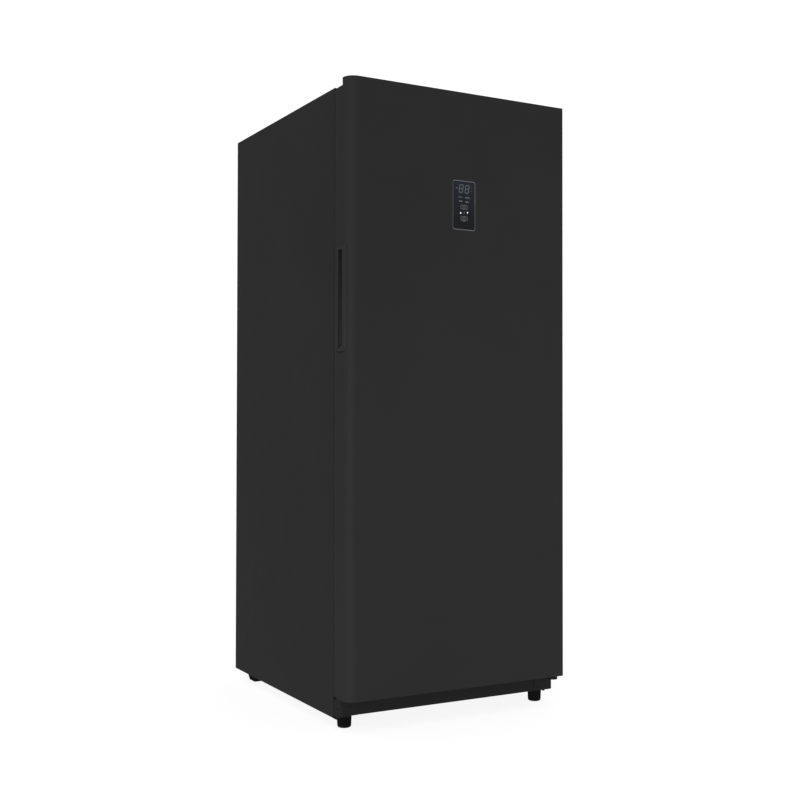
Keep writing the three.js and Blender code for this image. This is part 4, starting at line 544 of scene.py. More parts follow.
class Shaper:
    """Builds one mesh out of prisms, turned bodies, tubes and swept rings. Sizes are in millimetres."""

    def __init__(self) -> None:
        """Starts with an empty mesh."""
        self.mesh = bmesh.new()

    def _skin(self, rings: Sequence[Sequence[Vector]], closed: bool, caps: bool) -> None:
        """Joins rings of equal length with quads.

        Args:
            rings: The rings, in order.
            closed: Whether the last ring joins the first.
            caps: Whether the end rings are filled.
        """
        rows = [[self.mesh.verts.new(p) for p in ring] for ring in rings]
        pairs = list(zip(rows, rows[1:])) + ([(rows[-1], rows[0])] if closed else [])
        for low, high in pairs:
            self.walls(low, high)
        if caps:
            self.mesh.faces.new(list(reversed(rows[0])))
            self.mesh.faces.new(rows[-1])

    def walls(self, low: Sequence[bmesh.types.BMVert], high: Sequence[bmesh.types.BMVert]) -> None:
        """Joins two rings of corners with quads."""
        for k in range(len(low)):
            n = (k + 1) % len(low)
            self.mesh.faces.new((low[k], low[n], high[n], high[k]))

    def prism(self, outline: Sequence[Point], plane: Plane, low: float, high: float) -> "Shaper":
        """Adds an outline extruded between two heights over its plane."""
        rings = [[plane.at(a, b, c) * MM for a, b in outline] for c in (low, high)]
        self._skin(rings, closed=False, caps=True)
        return self

    def box(self, x: Point, y: Point, z: Point, bevel: float = 0.0) -> "Shaper":
        """Adds a box, with its upright edges cut back by a bevel."""
        b = bevel
        (x0, x1), (y0, y1) = x, y
        outline = [(x0, y0), (x1, y0), (x1, y1), (x0, y1)]
        if b:
            outline = [(x0 + b, y0), (x1 - b, y0), (x1, y0 + b), (x1, y1 - b)]
            outline += [(x1 - b, y1), (x0 + b, y1), (x0, y1 - b), (x0, y0 + b)]
        return self.prism(outline, Plane.XY, *z)

    def turned(
        self, profile: Sequence[Point], centre: Sequence[float], axis: Sequence[float], sides: int = 24
    ) -> "Shaper":
        """Adds a profile turned about an axis.

        Args:
            profile: Pairs of radius and height along the axis. A radius of 0 at an end closes it to a point.
            centre: The place of height 0.
            axis: The direction of the axis.
            sides: How many faces go round.

        Returns:
            This shaper.
        """
        turn = Vector((0, 0, 1)).rotation_difference(Vector(axis)).to_matrix()
        rings = [
            [(turn @ Vector((radius * c, radius * s, height)) + Vector(centre)) * MM for c, s in circle(sides)]
            for radius, height in profile
        ]
        self._skin(rings, closed=False, caps=True)
        return self

    def tube(
        self, path: Sequence[Sequence[float]], radius: float, sides: int = 10, loop: bool = False
    ) -> "Shaper":
        """Adds a round tube along a path.

        Args:
            path: The path's points.
            radius: The tube's radius.
            sides: How many faces go round.
            loop: Whether the path closes on itself.

        Returns:
            This shaper.
        """
        points = [Vector(p) for p in path]
        count = len(points)
        rings = []
        side = None
        for i, spot in enumerate(points):
            before = points[(i - 1) % count] if loop or i else points[0]
            after = points[(i + 1) % count] if loop or i + 1 < count else points[-1]
            along = (after - before).normalized()
            if side is None:
                side = along.orthogonal().normalized()
            side = (side - along * side.dot(along)).normalized()
            up = along.cross(side)
            rings.append([(spot + side * radius * c + up * radius * s) * MM for c, s in circle(sides)])
        self._skin(rings, closed=loop, caps=not loop)
        return self

    def swept(self, path: Sequence[tuple[Vector, Vector]], profile: Sequence[Point], rise: Vector) -> "Shaper":
        """Adds a profile carried round a closed path.

        Args:
            path: Pairs of a point and the outward direction there.
            profile: Pairs of distance outwards and distance along the rise.
            rise: The direction across the path's plane.

        Returns:
            This shaper.
        """
        rings = [[(spot + out * o + rise * r) * MM for o, r in profile] for spot, out in path]
        self._skin(rings, closed=True, caps=False)
        return self

    def strip(self, rings: Sequence[Sequence[Vector]]) -> "Shaper":
        """Adds an open run of rings in metres, filled at both ends."""
        self._skin(rings, closed=False, caps=True)
        return self

    def copy_in(self, other: bmesh.types.BMesh, matrix: Matrix) -> None:
        """Adds a moved copy of another mesh."""
        places = {v: self.mesh.verts.new(matrix @ v.co) for v in other.verts}
        for face in other.faces:
            self.mesh.faces.new([places[v] for v in face.verts])

    def piece(
        self, name: str, body: str, slot: str, finish: bpy.types.Material,
        bevel: float = 0.0, angle: float = 35.0, replaces: Iterable[str] = (),
    ) -> bpy.types.Object:
        """Turns the mesh into a piece that rides on a body.

        Args:
            name: The piece's name.
            body: The body that it moves with.
            slot: The record's material slot; not used.
            finish: Its material.
            bevel: The width of its edges' bevel in millimetres.
            angle: The angle in degrees over which an edge stays sharp.
            replaces: The solids that it stands for.

        Returns:
            The new object.
        """
        bmesh.ops.remove_doubles(self.mesh, verts=self.mesh.verts, dist=1e-7)
        bmesh.ops.recalc_face_normals(self.mesh, faces=self.mesh.faces)
        data = bpy.data.meshes.new(name)
        self.mesh.to_mesh(data)
        self.mesh.free()
        data.polygons.foreach_set("use_smooth", [True] * len(data.polygons))
        data.set_sharp_from_angle(angle=math.radians(angle))
        data.materials.append(finish)
        made = bpy.data.objects.new(name, data)
        bpy.context.scene.collection.objects.link(made)
        if bevel:
            rounding = made.modifiers.new("edge", "BEVEL")
            rounding.width = bevel * MM
            rounding.segments = 2
            rounding.limit_method = "ANGLE"
            rounding.angle_limit = math.radians(40)
        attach(made, body)
        for node in replaces:
            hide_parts(node)
        LOG.info("piece %s: %d faces, rides on %s", name, len(data.polygons), body)
        return made


def circle(sides: int) -> list[Point]:
    """Gives evenly spaced directions round a circle."""
    angles = [2 * math.pi * k / sides for k in range(sides)]
    return [(math.cos(angle), math.sin(angle)) for angle in angles]


def band(half: float, rise: float) -> list[Point]:
    """Draws the profile of a flat band, across and up."""
    return [(half, 0.0), (half, rise), (-half, rise), (-half, 0.0)]


def centred(count: int, pitch: float) -> list[float]:
    """Spaces places evenly about the middle."""
    return [(k - (count - 1) / 2) * pitch for k in range(count)]


def moved(start: Sequence[float], path: Iterable[Spot]) -> list[Spot]:
    """Moves a path to its start."""
    return [tuple(a + b for a, b in zip(start, spot)) for spot in path]


def corners(a: Point, b: Point, radius: float, steps: int) -> list[tuple[Point, Point]]:
    """Walks round the corners of a rounded rectangle, counter-clockwise.

    Args:
        a: Its limits in the first direction.
        b: Its limits in the second direction.
        radius: The corners' radius.
        steps: How many steps each corner takes.

    Returns:
        Pairs of a corner's centre and the direction outwards from it.
    """
    (a0, a1), (b0, b1) = (a[0] + radius, a[1] - radius), (b[0] + radius, b[1] - radius)
    walk = []
    for quarter, centre in enumerate(((a1, b0), (a1, b1), (a0, b1), (a0, b0))):
        for k in range(steps + 1):
            angle = math.pi / 2 * (quarter - 1 + k / steps)
            walk.append((centre, (math.cos(angle), math.sin(angle))))
    return walk


def rounded(a: Point, b: Point, radius: float, steps: int = 4) -> list[Point]:
    """Draws a rectangle with rounded corners, from its limits, radius and steps a corner."""
    return [(ca + radius * c, cb + radius * s) for (ca, cb), (c, s) in corners(a, b, radius, steps)]


def round_path(a: Point, b: Point, radius: float, plane: Plane, level: float) -> list[tuple[Vector, Vector]]:
    """Gives the points of a rounded rectangle with the outward direction at each.

    Args:
        a: Its limits in the first direction.
        b: Its limits in the second direction.
        radius: The corners' radius.
        plane: The plane that it lies in.
        level: Its height over the plane.

    Returns:
        Pairs of a point and a direction.
    """
    path = []
    for (ca, cb), (c, s) in corners(a, b, radius, steps=5):
        out = plane.at(c, s, 0.0)
        path.append((plane.at(ca, cb, level) + out * radius, out))
    return path


def smooth_line(points: Sequence[Sequence[float]], steps: int = 5) -> list[Vector]:
    """Rounds a path with a curve through its points.

    Args:
        points: The points.
        steps: How many steps each stretch takes.

    Returns:
        The points of the rounded path.
    """
    spots = [Vector(p) for p in points]
    line = []
    for i in range(len(spots) - 1):
        before = spots[max(i - 1, 0)]
        after = spots[min(i + 2, len(spots) - 1)]
        a, b = spots[i], spots[i + 1]
        for k in range(steps):
            t = k / steps
            line.append(
                0.5 * ((2 * a) + (b - before) * t + (2 * before - 5 * a + 4 * b - after) * t * t
                       + (3 * a - before - 3 * b + after) * t ** 3)
            )
    line.append(spots[-1])
    return line


def edges_of(node: str) -> tuple[list[float], list[float]]:
    """Gives a solid's lowest and highest corner in millimetres."""
    low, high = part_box(node)
    return [v / MM for v in low], [v / MM for v in high]


# ---- Small fittings ------------------------------------------------------------------------------------


class Drive(Enum):
    """How a screw is driven."""

    CROSS = "cross recess"
    HEXAGON = "hexagon head"


@dataclass(frozen=True)
class Screw:
    """A screw's head."""

    radius: float
    height: float
    drive: Drive = Drive.CROSS

    def shape(self) -> bmesh.types.BMesh:
        """Builds the head with its seat in the XY plane, facing +Z, in metres."""
        return self._hexagon() if self.drive is Drive.HEXAGON else self._cross()

    def _hexagon(self) -> bmesh.types.BMesh:
        """Builds a hexagon on a round flange."""
        shaper = Shaper()
        r, h = self.radius, self.height
        shaper.turned([(r, 0), (r, h * 0.22), (r * 0.94, h * 0.3)], (0, 0, 0), (0, 0, 1), 24)
        shaper.turned([(r * 0.72, h * 0.3), (r * 0.72, h * 0.9), (r * 0.62, h)], (0, 0, 0), (0, 0, 1), 6)
        return shaper.mesh

    def _cross(self) -> bmesh.types.BMesh:
        """Builds a domed head with a sunk cross."""
        r, h = self.radius, self.height
        shaper = Shaper()
        mesh = shaper.mesh
        dome = ((1.0, 0.0), (1.0, 0.35), (0.93, 0.7), (0.75, 0.93), (0.62, 1.0))
        rows = [
            [mesh.verts.new(Vector((r * share * c, r * share * s, h * rise)) * MM) for c, s in circle(24)]
            for share, rise in dome
        ]
        for low, high in zip(rows, rows[1:]):
            shaper.walls(low, high)
        mesh.faces.new(list(reversed(rows[0])))
        arm, half = r * 0.5, r * 0.13
        cross = [(arm, -half), (arm, half), (half, half), (half, arm), (-half, arm), (-half, half)]
        cross += [(-arm, half), (-arm, -half), (-half, -half), (-half, -arm), (half, -arm), (half, -half)]
        top = [mesh.verts.new(Vector((x, y, h)) * MM) for x, y in cross]
        deep = [mesh.verts.new(Vector((x * 0.55, y * 0.7, h * 0.35)) * MM) for x, y in cross]
        rim = [mesh.edges.get(pair) for pair in zip(rows[-1], rows[-1][1:] + rows[-1][:1])]
        lips = [mesh.edges.new(pair) for pair in zip(top, top[1:] + top[:1])]
        bmesh.ops.triangle_fill(mesh, use_beauty=True, edges=rim + lips)
        for k in range(len(top)):
            n = (k + 1) % len(top)
            mesh.faces.new((top[n], top[k], deep[k], deep[n]))
        mesh.faces.new(deep)
        return mesh


@dataclass
class Fasteners:
    """The screws of each panel. Insets are measured from the panel's own edges."""

    case_screw: Screw = Screw(4.2, 1.1)
    base_screw: Screw = Screw(3.4, 1.2)
    hinge_screw: Screw = Screw(6.0, 4.2, Drive.HEXAGON)
    cover_screw: Screw = Screw(4.0, 1.8)
    back_inset: float = 9.0
    back_sink: float = 1.15
    back_margin: float = 40.0
    back_rows: int = 7
    back_head: tuple[float, ...] = (-180, -60, 60, 180)
    bay_inset: float = 10.0
    bay_middle: tuple[float, ...] = (-150, 0, 150)
    nose: float = 15.5
    nose_turn: float = math.radians(47.0)
    nose_sink: float = 0.2
    nose_rises: Point = (49.4, 37.3)
    base_spots: tuple[Point, ...] = ((-278.2, 53.8), (270.4, 38.6))
    hinge_spots: tuple[Point, ...] = ((14, 12), (44, 12), (29, 32))
    cold_inset: float = 16.0
    cold_foot: float = 20.0
    cold_head: float = 24.0
    cross_across: float = 270.0
    cross_insets: Point = (20, 150)
    spin_step: float = 0.7
    spin_start: float = 0.4

    def _set(
        self, name: str, screw: Screw, spots: Sequence[Sequence[float]], facing: Sequence[float],
        slot: str, finish: bpy.types.Material,
    ) -> None:
        """Adds a row of screws on the cabinet as one piece.

        Args:
            name: The piece's name.
            screw: The screw.
            spots: Where each head sits, in millimetres.
            facing: The direction that the heads face.
            slot: The record's material slot.
            finish: Their material.
        """
        shaper = Shaper()
        head = screw.shape()
        turn = Vector((0, 0, 1)).rotation_difference(Vector(facing)).to_matrix().to_4x4()
        for i, spot in enumerate(spots):
            spin = Matrix.Rotation(self.spin_step * i + self.spin_start, 4, "Z")
            shaper.copy_in(head, Matrix.Translation(Vector(spot) * MM) @ turn @ spin)
        head.free()
        shaper.piece(name, "cabinet", slot, finish, angle=30)

    def build(self, finishes: Finishes) -> None:
        """Builds every row of screws.

        Args:
            finishes: The materials by name.
        """
        zinc, bracket = finishes["bright_zinc"], finishes["bracket_steel"]
        low, high = edges_of("back_panel")
        run = high[2] - low[2] - 2 * self.back_margin
        rises = [low[2] + self.back_margin + k * run / (self.back_rows - 1) for k in range(self.back_rows)]
        spots = [(x, z) for x in (low[0] + self.back_inset, high[0] - self.back_inset) for z in rises]
        spots += [(x, high[2] - self.back_inset) for x in self.back_head]
        spots = [(x, high[1] - self.back_sink, z) for x, z in spots]
        self._set("back_panel_screws", self.case_screw, spots, (0, 1, 0), "galvanised_steel", zinc)
        low, high = edges_of("machine_cover")
        columns = (low[0] + self.bay_inset, *self.bay_middle, high[0] - self.bay_inset)
        spots = [(x, high[1], z) for x in columns for z in (low[2] + self.bay_inset, high[2] - self.bay_inset)]
        self._set("machine_cover_screws", self.case_screw, spots, (0, 1, 0), "galvanised_steel",
                  finishes["black_screw"])
        low, high = edges_of("corner_bracket_left")
        nose = Vector((low[0] + self.nose, low[1] + self.nose, 0.0))
        aslant = Vector((-math.sin(self.nose_turn), -math.cos(self.nose_turn), 0.0))
        spots = [nose + aslant * (self.nose - self.nose_sink) + Vector((0, 0, z)) for z in self.nose_rises]
        self._set("nose_screws", self.base_screw, spots, aslant, "bracket_steel", bracket)
        spots = [(x, low[1], z) for x, z in self.base_spots]
        self._set("base_screws", self.base_screw, spots, (0, -1, 0), "bracket_steel", bracket)
        low, high = edges_of("hinge_bracket_upper")
        spots = [(low[0] + x, high[1] - y, high[2]) for x, y in self.hinge_spots]
        self._set("upper_hinge_screws", self.hinge_screw, spots, (0, 0, 1), "bracket_steel", zinc)
        low, high = edges_of("evaporator_cover")
        spots = [(x, low[1], z) for x in (low[0] + self.cold_inset, high[0] - self.cold_inset)
                 for z in (low[2] + self.cold_foot, high[2] - self.cold_head)]
        self._set("cold_cover_screws", self.cover_screw, spots, (0, -1, 0), "white_plastic",
                  finishes["white_plastic"])
        low, high = edges_of("rear_cross_plate")
        spots = [(x, high[1] - y, low[2]) for x in (-self.cross_across, self.cross_across)
                 for y in self.cross_insets]
        self._set("cross_plate_screws", self.cover_screw, spots, (0, 0, -1), "galvanised_steel", zinc)


@dataclass(frozen=True)
class Bar:
    """A printed bar with rounded corners, measured from the window's middle."""

    across: Point
    rise: Point
    corner: float
    steps: int = 2

    def outline(self) -> list[Point]:
        """Draws the bar."""
        return rounded(self.across, self.rise, self.corner, self.steps)


@dataclass
class DisplayMarks:
    """What is printed on the display window, measured from its middle: digits, lamps, keys and arrows."""

    thickness: float = 0.12
    digit_height: float = 20.8
    digit_width: float = 12.1
    stroke: float = 1.7
    slant: float = 0.12
    shift: float = 1.4
    digit_spots: tuple[Point, ...] = ((-9.9, 41.8), (7.6, 41.2))
    sign: Bar = Bar((-25.2, -19.8), (41.6, 43.4), 0.8)
    lamps: tuple[Bar, ...] = (
        Bar((-17.6, -6.4), (19.5, 21.1), 0.75, 3),
        Bar((2.2, 15.0), (18.8, 21.0), 0.75, 3),
        Bar((-16.2, -5.8), (8.9, 11.3), 0.75, 3),
    )
    hood: tuple[Point, ...] = ((2.4, 7.9), (12.2, 7.9), (11.0, 10.0), (7.4, 11.4), (3.8, 10.0))
    dot_across: Point = (20.4, 22.0)
    dot_levels: Point = (45.3, 37.6)
    dot_half: float = 0.9
    dot_corner: float = 0.6
    key_shift: float = 1.1
    key_rises: Point = (-4.4, -32.4)
    key_half: Point = (9.7, 4.6)
    key_stroke: float = 1.5
    ring_half: Point = (4.2, 2.5)
    ring_stroke: float = 1.0
    key_corner: float = 3.4
    key_flat: float = 0.4
    key_dots: Point = (-3.2, 0.0)
    key_dot_sides: Point = (-0.1, 1.1)
    key_dot_rises: tuple[Point, ...] = ((-5.8, -3.8), (-33.4, -31.4))
    foot_bar: Bar = Bar((-5.6, 2.8), (-40.1, -38.4), 0.8, 3)
    arrow_up: tuple[Point, ...] = ((-13.2, -20.8), (-8.8, -20.8), (-11.4, -16.6))
    arrow_down: tuple[Point, ...] = ((9.0, -19.6), (11.1, -15.9), (6.9, -15.9))
    scale_sign: tuple[Bar, ...] = (
        Bar((-1.6, -0.4), (-20.2, -14.8), 0.5), Bar((-2.6, 0.6), (-20.8, -19.6), 0.5)
    )
    seat_inset: float = 0.6
    seat_corner: float = 1.5
    seat_half: float = 0.5
    seat_rise: float = 0.1
    face: float = field(init=False, default=0.0)
    x: float = field(init=False, default=0.0)
    z: float = field(init=False, default=0.0)

    def build(self, finishes: Finishes) -> None:
        """Builds the marks.

        Args:
            finishes: The materials by name.
        """
        low, high = edges_of("display_window")
        self.face = low[1]
        self.x = (low[0] + high[0]) / 2 + self.shift
        self.z = (low[2] + high[2]) / 2
        self._digits(finishes["display_ink_painted_glow"])
        self._lamps(finishes["display_ink_painted_glow"])
        self._keys(finishes["key_line_ink_painted_glow"])
        self._print("display_arrows", (self.arrow_up, self.arrow_down), finishes["key_ink_painted_glow"])
        self._print("display_scale_sign", [bar.outline() for bar in self.scale_sign], finishes["display_ink_painted_glow"])
        self._gasket(low, high, finishes["rubber"])

    def _gasket(self, low: Sequence[float], high: Sequence[float], rubber: bpy.types.Material) -> None:
        """Lays the dark seat that shows between the rim and the window.

        Args:
            low: The window's lowest corner.
            high: Its highest corner.
            rubber: The material.
        """
        inset = self.seat_inset
        path = round_path((low[0] + inset, high[0] - inset), (low[2] + inset, high[2] - inset), self.seat_corner,
                          Plane.XZ, self.face)
        shaper = Shaper().swept(path, band(self.seat_half, self.seat_rise), Vector((0, -1, 0)))
        shaper.piece("display_seat", "door", "rubber", rubber)

    def _flat(self, shaper: Shaper, outline: Sequence[Point]) -> None:
        """Adds one printed shape, given in millimetres from the window's middle."""
        moved = [(self.x + a, self.z + b) for a, b in outline]
        shaper.prism(moved, Plane.XZ, self.face - self.thickness, self.face)

    def _print(
        self, name: str, outlines: Iterable[Sequence[Point]], ink: bpy.types.Material, onto: Shaper | None = None
    ) -> None:
        """Prints flat shapes as one piece.

        Args:
            name: The piece's name.
            outlines: The shapes, given from the window's middle.
            ink: The material.
            onto: A mesh that they join.
        """
        shaper = onto or Shaper()
        for outline in outlines:
            self._flat(shaper, outline)
        shaper.piece(name, "door", "display_rim", ink)

    def _digits(self, ink: bpy.types.Material) -> None:
        """Draws two digits of seven bars each, and the sign before them.

        Args:
            ink: The material.
        """
        outlines = []
        w, h, t = self.digit_width / 2, self.digit_height / 2, self.stroke / 2
        for centre, middle in self.digit_spots:
            bars = []
            for level in (-1, 0, 1):
                y = level * (h - t)
                bars.append([(-w + 2 * t, y - t), (w - 2 * t, y - t), (w - t, y), (w - 2 * t, y + t),
                             (-w + 2 * t, y + t), (-w + t, y)])
            for side in (-1, 1):
                for half in (-1, 1):
                    x = side * (w - t)
                    y0, y1 = sorted((half * t * 0.9, half * (h - t * 1.9)))
                    bars.append([(x - t, y0 + t), (x, y0), (x + t, y0 + t), (x + t, y1 - t), (x, y1),
                                 (x - t, y1 - t)])
            outlines += [[(centre + a + self.slant * b, middle + b) for a, b in bar] for bar in bars]
        self._print("display_digits", outlines + [self.sign.outline()], ink)

    def _lamps(self, ink: bpy.types.Material) -> None:
        """Draws the small status bars.

        Args:
            ink: The material.
        """
        outlines = [bar.outline() for bar in self.lamps] + [self.hood]
        for level in self.dot_levels:
            rise = (level - self.dot_half, level + self.dot_half)
            outlines.append(rounded(self.dot_across, rise, self.dot_corner, 2))
        self._print("display_lamps", outlines, ink)

    def _keys(self, ink: bpy.types.Material) -> None:
        """Draws the outlines of the two touch keys with their small signs.

        Args:
            ink: The material.
        """
        shaper = Shaper()
        centre = self.x - self.key_shift
        for middle in (self.z + rise for rise in self.key_rises):
            for (a, b), stroke in ((self.key_half, self.key_stroke), (self.ring_half, self.ring_stroke)):
                corner = min(self.key_corner, b - self.key_flat)
                path = round_path((centre - a, centre + a), (middle - b, middle + b), corner, Plane.XZ, self.face)
                shaper.swept(path, band(stroke / 2, self.thickness), Vector((0, -1, 0)))
        left, right = self.key_dot_sides
        dots = [rounded((x + left, x + right), rise, 0.5, 2) for x in self.key_dots for rise in self.key_dot_rises]
        self._print("display_keys", dots + [self.foot_bar.outline()], ink, shaper)


@dataclass
class DoorSeal:
    """The folds between the seal's foot and its magnet strip, the lip outside them, and the liner's binding."""

    folds: int = 3
    reach: float = 2.6
    track: float = 9.0
    track_corner: float = 6.0
    fold_half: float = 4.6
    fold_margin: float = 3.6
    lip_reach: float = 13.4
    lip_head: float = 18.9
    lip_foot: float = 12.5
    lip_corner: float = 5.0
    lip_lap: float = 1.0
    hinge_room: float = 0.4
    binding_corner: float = 0.5
    binding: tuple[Point, ...] = ((0.03, -0.1), (0.25, -0.1), (0.25, 2.3), (0.03, 2.3))

    def build(self, finishes: Finishes) -> None:
        """Builds the folds round the door, the lip, and the binding that covers the liner's pale edge.

        Args:
            finishes: The materials by name.
        """
        vinyl = finishes["seal_vinyl"]
        low, high = edges_of("door_seal")
        a = (low[0] + self.track, high[0] - self.track)
        b = (low[2] + self.track, high[2] - self.track)
        start, end = self.fold_margin, high[1] - low[1] - self.fold_margin
        outer = []
        for k in range(self.folds * 2 + 1):
            rise = start + (end - start) * k / (self.folds * 2)
            outer.append((self.fold_half + (self.reach if k % 2 else 0.0), rise))
        profile = outer + [(-o, r) for o, r in reversed(outer)]
        path = round_path(a, b, self.track_corner, Plane.XZ, low[1])
        self._ring("seal_folds", path, profile, vinyl, 70)
        self._lip(low, high, vinyl)
        low, high = edges_of("door_liner")
        path = round_path((low[0], high[0]), (low[2], high[2]), self.binding_corner, Plane.XZ, low[1])
        self._ring("seal_binding", path, self.binding, vinyl, 35)

    def _ring(
        self, name: str, path: Sequence[tuple[Vector, Vector]], profile: Sequence[Point],
        vinyl: bpy.types.Material, angle: float,
    ) -> None:
        """Carries a profile round the door.

        Args:
            name: The piece's name.
            path: Pairs of a point and the outward direction there.
            profile: Pairs of distance outwards and distance into the gap.
            vinyl: The material.
            angle: The angle in degrees over which an edge stays sharp.
        """
        Shaper().swept(path, profile, Vector((0, 1, 0))).piece(name, "door", "seal_vinyl", vinyl, angle=angle)

    def _lip(self, low: Sequence[float], high: Sequence[float], vinyl: bpy.types.Material) -> None:
        """Builds the soft lip that closes the gap outside the folds. It stays clear of the hinge.

        Args:
            low: The seal's lowest corner.
            high: Its highest corner.
            vinyl: The material.
        """
        a = (low[0] - self.lip_reach, high[0] - self.hinge_room)
        b = (low[2] - self.lip_foot, high[2] + self.lip_head)
        path = round_path(a, b, self.lip_corner, Plane.XZ, low[1])
        depth = high[1] - low[1]
        root = -(self.lip_reach + self.lip_lap)
        profile = [(root, 0.1), (-0.8, 0.1), (-0.2, 0.3), (0.0, 0.8), (0.0, depth - 0.9), (-0.3, depth - 0.4),
                   (-1.0, depth - 0.25), (-1.8, depth - 1.2), (-1.6, 2.4), (root, 2.0)]
        self._ring("seal_lip", path, profile, vinyl, 50)


@dataclass
class HandleShadowStrip:
    """A thin dark strip along the foot of the pocket handle's frame on the door: a painted shadow under the
    frame's lower edge.
    """

    width: float = 1.9
    taper: float = 0.1
    corner: float = 12.0
    corner_steps: int = 8
    sweep: float = 70.0
    edge: float = 0.6
    edge_pitch: float = 9.0
    edge_steps: int = 3
    gap: float = 0.12
    door_corner: float = 27.5
    proud: float = 0.3
    sunk: float = 0.02

    def build(self, finishes: Finishes) -> None:
        """Builds the painted shadow strip along the frame's lower edge and up its rounded corner.

        Args:
            finishes: The materials by name.
        """
        low, high = edges_of("handle_insert")
        stations = [(Vector((high[1] - self.edge - k * self.edge_pitch, low[2])), Vector((0.0, -1.0)), self.width)
                    for k in range(self.edge_steps)]
        middle = Vector((low[1] + self.corner, low[2] + self.corner))
        for k in range(self.corner_steps + 1):
            angle = math.radians(-90.0 - self.sweep * k / self.corner_steps)
            out = Vector((math.cos(angle), math.sin(angle)))
            stations.append((middle + out * self.corner, out, self.width * (1.0 - self.taper * k)))
        rings = []
        for spot, out, width in stations:
            near, far = spot + out * self.gap, spot + out * width
            depths = ((near, self.sunk), (near, self.proud), (far, self.proud), (far, self.sunk))
            rings.append([Vector((self._side(p[0]) - d, p[0], p[1])) * MM for p, d in depths])
        # Painted shadow: a dark rubber strip stands for the shade under the frame's foot.
        Shaper().strip(rings).piece("handle_painted_shadow", "door", "rubber", finishes["rubber"])

    def _side(self, y: float) -> float:
        """Gives how far left the door's skin reaches at a depth, round its edge."""
        side, face = edges_of("door_skin")[0][:2]
        short = max(face + self.door_corner - y, 0.0)
        return side + self.door_corner - math.sqrt(self.door_corner ** 2 - short ** 2)


@dataclass
class ColdAirUnit:
    """Fine parts of the cold-air unit: its fins and the fan's lead."""

    fin_pitch: float = 6.0
    fin: float = 0.25
    fin_room: float = 104.0
    fin_depths: Point = (0.6, 47.5)
    fin_inset: float = 1.0
    lead: float = 1.5
    lead_across: float = 16.0
    lead_inset: float = 14.0
    lead_path: tuple[Spot, ...] = (
        (0, 0, 0), (20, 0, 10), (60, 4, 30), (90, 8, 90), (96, 11, 200), (96, 12.5, 300)
    )

    def build(self, finishes: Finishes) -> None:
        """Builds the fin pack and the lead.

        Args:
            finishes: The materials by name.
        """
        low, high = edges_of("evaporator_coil")
        shaper = Shaper()
        count = int((high[0] - low[0] - self.fin_room) / self.fin_pitch)
        depths = (low[1] + self.fin_depths[0], low[1] + self.fin_depths[1])
        for x in centred(count, self.fin_pitch):
            shaper.box((x - self.fin, x + self.fin), depths, (low[2] + self.fin_inset, high[2] - self.fin_inset))
        shaper.piece("evaporator_fins", "cabinet", "aluminium", finishes["aluminium"])
        high = edges_of("fan_motor")[1]
        start = (self.lead_across, high[1] - self.lead_inset, high[2] - self.lead_inset)
        path = smooth_line(moved(start, self.lead_path))
        Shaper().tube(path, self.lead, 8).piece("fan_lead", "cabinet", "trim_plastic", finishes["trim_plastic"])


@dataclass
class MachineBay:
    """Fine parts of the compressor compartment, measured from the compressor's shell."""

    shell_foot: float = 15.0
    seam_share: float = 0.53
    seam_half: Point = (78.9, 68.0)
    weld: float = 1.6
    stub: float = 3.2
    stub_path: tuple[Spot, ...] = ((-20, -64, 92), (-20, -72, 96), (-20, -76, 112), (-20, -76, 136))
    bolt_at: Point = (84, 50)
    bolt_rise: float = 1.0
    bolt_flange: tuple[Point, ...] = ((9, 0), (9, 1.6), (8.4, 2))
    bolt_head: tuple[Point, ...] = ((5.4, 2), (5.4, 6.2), (4.6, 7))
    pad_inset: Point = (12, 9)
    pad_depths: Point = (2.6, 0.05)
    pad_corner: float = 4.0
    pad_bevel: float = 0.3

    def build(self, finishes: Finishes) -> None:
        """Builds the compressor's seam, its charging stub, the foot bolts and the relay cover's pad.

        Args:
            finishes: The materials by name.
        """
        low, high = edges_of("compressor")
        x, y = (low[0] + high[0]) / 2, (low[1] + high[1]) / 2
        foot = low[2] + self.shell_foot
        seam = foot + (high[2] - foot) * self.seam_share
        loop = [(x + self.seam_half[0] * c, y + self.seam_half[1] * s, seam) for c, s in circle(48)]
        Shaper().tube(loop, self.weld, 8, loop=True).piece(
            "compressor_weld", "cabinet", "compressor_steel", finishes["compressor_steel"])
        path = smooth_line(moved((x, y, foot), self.stub_path))
        Shaper().tube(path, self.stub, 10).piece("charging_stub", "cabinet", "copper", finishes["copper"])
        bolts = Shaper()
        for sx in (-1, 1):
            for sy in (-1, 1):
                spot = (x + sx * self.bolt_at[0], y + sy * self.bolt_at[1], foot + self.bolt_rise)
                bolts.turned(self.bolt_flange, spot, (0, 0, 1), 24)
                bolts.turned(self.bolt_head, spot, (0, 0, 1), 6)
        bolts.piece("compressor_bolts", "cabinet", "galvanised_steel", finishes["bright_zinc"])
        low, high = edges_of("relay_cover")
        dy, dz = self.pad_inset
        outline = rounded((low[1] + dy, high[1] - dy), (low[2] + dz, high[2] - dz), self.pad_corner)
        pad = Shaper().prism(outline, Plane.YZ, low[0] - self.pad_depths[0], low[0] - self.pad_depths[1])
        pad.piece("relay_pad", "cabinet", "rubber", finishes["rubber"], bevel=self.pad_bevel)


@dataclass(frozen=True)
class Ribs:
    """A row of upright ribs on a clear wall, which runs between a foot and a head margin."""

    count: int
    pitch: float
    half: float
    corner: float
    foot: float
    head: float
    depths: Point

    def shape(self, low: Sequence[float], high: Sequence[float], wall: float) -> Shaper:
        """Builds the row.

        Args:
            low: The lowest corner of the bin or basket.
            high: Its highest corner.
            wall: Where its wall lies.

        Returns:
            The mesh.
        """
        shaper = Shaper()
        for x in centred(self.count, self.pitch):
            outline = rounded((x - self.half, x + self.half), (low[2] + self.foot, high[2] - self.head),
                              self.corner, 3)
            shaper.prism(outline, Plane.XZ, wall + self.depths[0], wall + self.depths[1])
        return shaper


